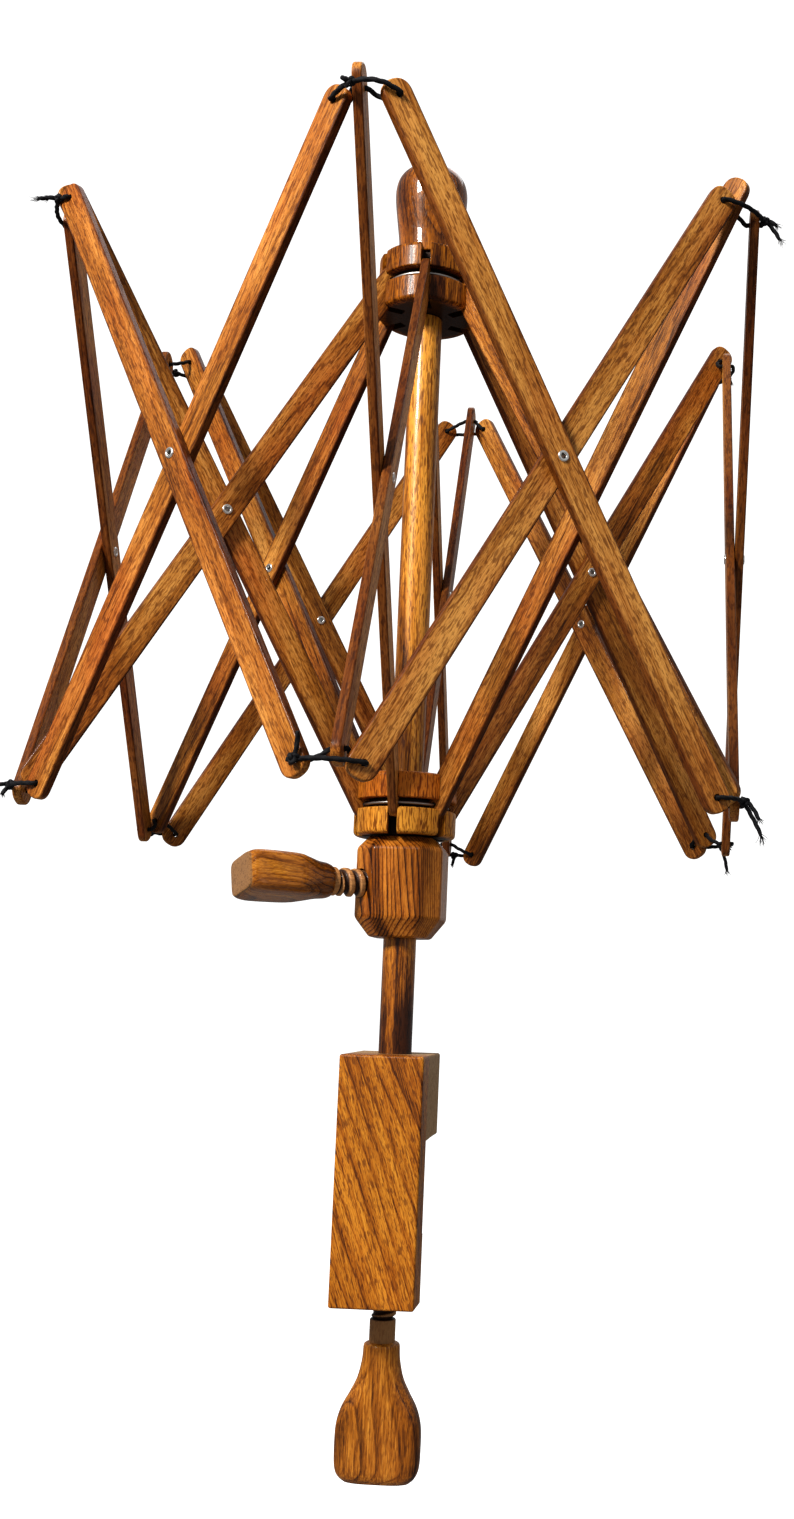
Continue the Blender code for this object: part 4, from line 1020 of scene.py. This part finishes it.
sroll = radians(SCREW_ROLL)
cr, sr = cos(sroll), sin(sroll)
SX = basis(Z * SCREW_Z, side_v * cr + Z * sr, Z * cr - side_v * sr, SCREW_DIR)
ob = screw("carved_collar_screw", SHAFT_R + 0.5 * MM, SHAFT_R + 3.0 * MM, SCREW_NECK - 3.5 * MM, SCREW_NECK, SCREW_ROOT_R - 0.4 * MM,
           SCREW_THREAD_R, SCREW_PITCH, GRIP_L, GRIP_STATIONS, SX, (SCREWW, THREADW), SCREW_ROOT_R, (0.0, 0.1, 0.4))
show(ob, "collar_screw", "wood_collar_screw", "collar_screw")

DOWN = basis(Vector((CLAMP_X, CLAMP_Y, 0)), Vector((1, 0, 0)), Vector((0, -1, 0)), Vector((0, 0, -1)))
ob = screw("carved_clamp_screw", -(PAD_TOP - 2.5 * MM), -(PAD_TOP - PAD_T - 1.0 * MM), -NECK_Z - 12.0 * MM, -NECK_Z,
           THREAD_ROOT_R - 0.5 * MM, THREAD_R - 0.3 * MM, THREAD_PITCH, PADDLE_L, PADDLE_STATIONS, DOWN,
           (PADDLEW, THREADW), PEG_R, (0.0, 0.2, 0.8), neck=6.7 * MM)
show(ob, "clamp_screw", "wood_clamp_screw", "clamp_screw")

bm = bmesh.new()
pr = PEG_R + FIT
lathe(bm, rounded([(pr, PAD_TOP - 2.2 * MM), (pr, PAD_TOP - PAD_T), (PAD_R, PAD_TOP - PAD_T), (PAD_R, PAD_TOP),
                   (0.001 * MM, PAD_TOP), (0.001 * MM, PAD_TOP - 2.2 * MM)], [0, 0.4 * MM, 1.0 * MM, 1.4 * MM, 0, 0], 4), 64)
bmesh.ops.remove_doubles(bm, verts=bm.verts[:], dist=0.01 * MM)
show(make("turned_pad", bm, PADW, Matrix.Translation((CLAMP_X, CLAMP_Y, 0)), wv=(0.0, 0.1, 0.2)), "clamp_pad", "wood_clamp_pad",
     "clamp_pad")


# --- clamp block ---------------------------------------------------------------
def block():
    bm = bmesh.new()
    pts = [(BLOCK_Y0, BLOCK_Z0), (LOWER_ARM_Y, BLOCK_Z0), (LOWER_ARM_Y, LOWER_ARM_TOP), (NOTCH_Y, LOWER_ARM_TOP),
           (NOTCH_Y, 0.0), (BLOCK_Y1, 0.0), (BLOCK_Y1, BLOCK_Z1), (BLOCK_Y0, BLOCK_Z1)]
    a = [bm.verts.new((BLOCK_X0, y, z)) for y, z in pts]
    b = [bm.verts.new((BLOCK_X1, y, z)) for y, z in pts]
    for i in range(len(pts)):
        j = (i + 1) % len(pts)
        bm.faces.new((a[i], a[j], b[j], b[i]))
    bm.faces.new(a)
    bm.faces.new(b)
    bmesh.ops.recalc_face_normals(bm, faces=bm.faces[:])
    inner = lambda e: all(abs(v.co.y - NOTCH_Y) < 1e-6 for v in e.verts)
    bmesh.ops.bevel(bm, geom=[e for e in bm.edges if not inner(e)], offset=1.3 * MM, segments=4, profile=0.5,
                    affect="EDGES")
    ob = make("shaped_clamp_block", bm, BLOCKW, None, weighted=False)
    cb = bmesh.new()
    lathe(cb, [(0, 12 * MM), (SHAFT_R + FIT, 12 * MM), (SHAFT_R + FIT, BLOCK_Z1 + 6 * MM), (0, BLOCK_Z1 + 6 * MM)], 64)
    boolean(ob, [cutter(cb)])
    sides = []
    for x0, x1 in ((BLOCK_X0 - 6 * MM, BLOCK_X0 + LOWER_ARM_IN), (BLOCK_X1 - LOWER_ARM_IN, BLOCK_X1 + 6 * MM)):
        cb = bmesh.new()
        bmesh.ops.create_cube(cb, size=1.0)
        bmesh.ops.scale(cb, vec=(x1 - x0, 46 * MM, LOWER_ARM_TOP - BLOCK_Z0 + 12 * MM), verts=cb.verts[:])
        bmesh.ops.translate(cb, vec=((x0 + x1) / 2, NOTCH_Y + 24.5 * MM, (LOWER_ARM_TOP + BLOCK_Z0) / 2), verts=cb.verts[:])
        bmesh.ops.bevel(cb, geom=cb.edges[:], offset=0.3 * MM, segments=1, affect="EDGES")
        sides.append(cutter(cb))
    boolean(ob, sides)
    cb = bmesh.new()
    lathe(cb, [(0, BLOCK_Z0 - 6 * MM), (CLAMP_BORE_R, BLOCK_Z0 - 6 * MM), (CLAMP_BORE_R, LOWER_ARM_TOP + 6 * MM),
               (0, LOWER_ARM_TOP + 6 * MM)], 64)
    boolean(ob, [cutter(cb, Matrix.Translation((CLAMP_X, CLAMP_Y, 0)))])
    finish_mesh(ob, 30, (0.1, 0.0, 0.2))
    return ob


show(block(), "frame", "wood_clamp_block", "clamp_block")

# =============================================================================
# floor, light and camera
FLOOR_Z = -0.62
n = Net("pale_floor")
tc = n.new("ShaderNodeTexCoord")
fl = n.noise(tc.outputs["Object"], 3.0, 2.0)
b = n.shader(Base_Color=n.mix(fl, (0.86, 0.86, 0.86), (0.90, 0.90, 0.90)), Roughness=0.9)
b.inputs["Emission Color"].default_value = (1.0, 1.0, 1.0, 1.0)
b.inputs["Emission Strength"].default_value = 0.75
dim = n.new("ShaderNodeBsdfDiffuse")
dim.inputs[0].default_value = (0.30, 0.30, 0.30, 1.0)
lp, pickf = n.new("ShaderNodeLightPath"), n.new("ShaderNodeMixShader")
n.t.links.new(lp.outputs["Is Camera Ray"], pickf.inputs[0])
n.t.links.new(dim.outputs[0], pickf.inputs[1])
n.t.links.new(b.outputs[0], pickf.inputs[2])
n.t.links.new(pickf.outputs[0], next(x for x in n.t.nodes if x.type == "OUTPUT_MATERIAL").inputs[0])
bm = bmesh.new()
bmesh.ops.create_grid(bm, x_segments=2, y_segments=2, size=14.0)
me = bpy.data.meshes.new("floor")
bm.to_mesh(me)
bm.free()
me.materials.append(n.mat)
floor = bpy.data.objects.new("floor", me)
bpy.context.scene.collection.objects.link(floor)
floor.location = (0, 0, FLOOR_Z)

world = bpy.data.worlds.new("studio")
bpy.context.scene.world = world
world.use_nodes = True
wt = world.node_tree
wt.nodes.clear()
wo = wt.nodes.new("ShaderNodeOutputWorld")
shown, soft = wt.nodes.new("ShaderNodeBackground"), wt.nodes.new("ShaderNodeBackground")
shown.inputs[0].default_value = (1.0, 1.0, 1.0, 1.0)
shown.inputs[1].default_value = 1.0
soft.inputs[0].default_value = (0.96, 0.98, 1.0, 1.0)
soft.inputs[1].default_value = 0.37
path, pick = wt.nodes.new("ShaderNodeLightPath"), wt.nodes.new("ShaderNodeMixShader")
wt.links.new(path.outputs["Is Camera Ray"], pick.inputs[0])
wt.links.new(soft.outputs[0], pick.inputs[1])
wt.links.new(shown.outputs[0], pick.inputs[2])
wt.links.new(pick.outputs[0], wo.inputs[0])


def area(name, loc, target, size, power, color=(1, 1, 1)):
    d = bpy.data.lights.new(name, "AREA")
    d.shape = "RECTANGLE"
    d.size, d.size_y = size
    d.energy = power
    d.color = color
    o = bpy.data.objects.new(name, d)
    bpy.context.scene.collection.objects.link(o)
    o.location = loc
    o.rotation_mode = "QUATERNION"
    o.rotation_quaternion = (Vector(target) - Vector(loc)).to_track_quat("-Z", "Y")
    return o


area("key", (-0.85, -1.45, 1.25), (0, 0, 0.2), (0.40, 0.40), 53.0, (1.0, 0.975, 0.94))
area("fill", (1.5, -1.2, 0.5), (0, 0, 0.2), (0.5, 0.9), 0.8, (0.93, 0.96, 1.0))
area("back", (0.35, 0.9, 1.9), (0, 0, 0.25), (1.4, 1.0), 8.0, (0.92, 0.96, 1.0))

R = ((0.997547, 0.062397, 0.031722), (0.024224, 0.117453, -0.992783), (-0.065672, 0.991116, 0.115653))
C = (0.129195307, -0.789060611, 0.072442308)
F, PX, PY = 1514.864392, 550.0, 825.0
cd = bpy.data.cameras.new("camera")
cam = bpy.data.objects.new("camera", cd)
bpy.context.scene.collection.objects.link(cam)
cam.matrix_world = Matrix(((R[0][0], -R[1][0], -R[2][0], C[0]), (R[0][1], -R[1][1], -R[2][1], C[1]),
                           (R[0][2], -R[1][2], -R[2][2], C[2]), (0, 0, 0, 1)))
cd.sensor_fit = "AUTO"
cd.sensor_width = 36.0
cd.lens = F * 36.0 / 1519.0
cd.shift_x = -(PX - 397.0) / 1519.0
cd.shift_y = (PY - 759.5) / 1519.0
cd.clip_start, cd.clip_end = 0.01, 100.0
bpy.context.scene.camera = cam
bpy.context.scene.view_settings.view_transform = "Standard"
bpy.context.scene.view_settings.look = "Medium High Contrast"
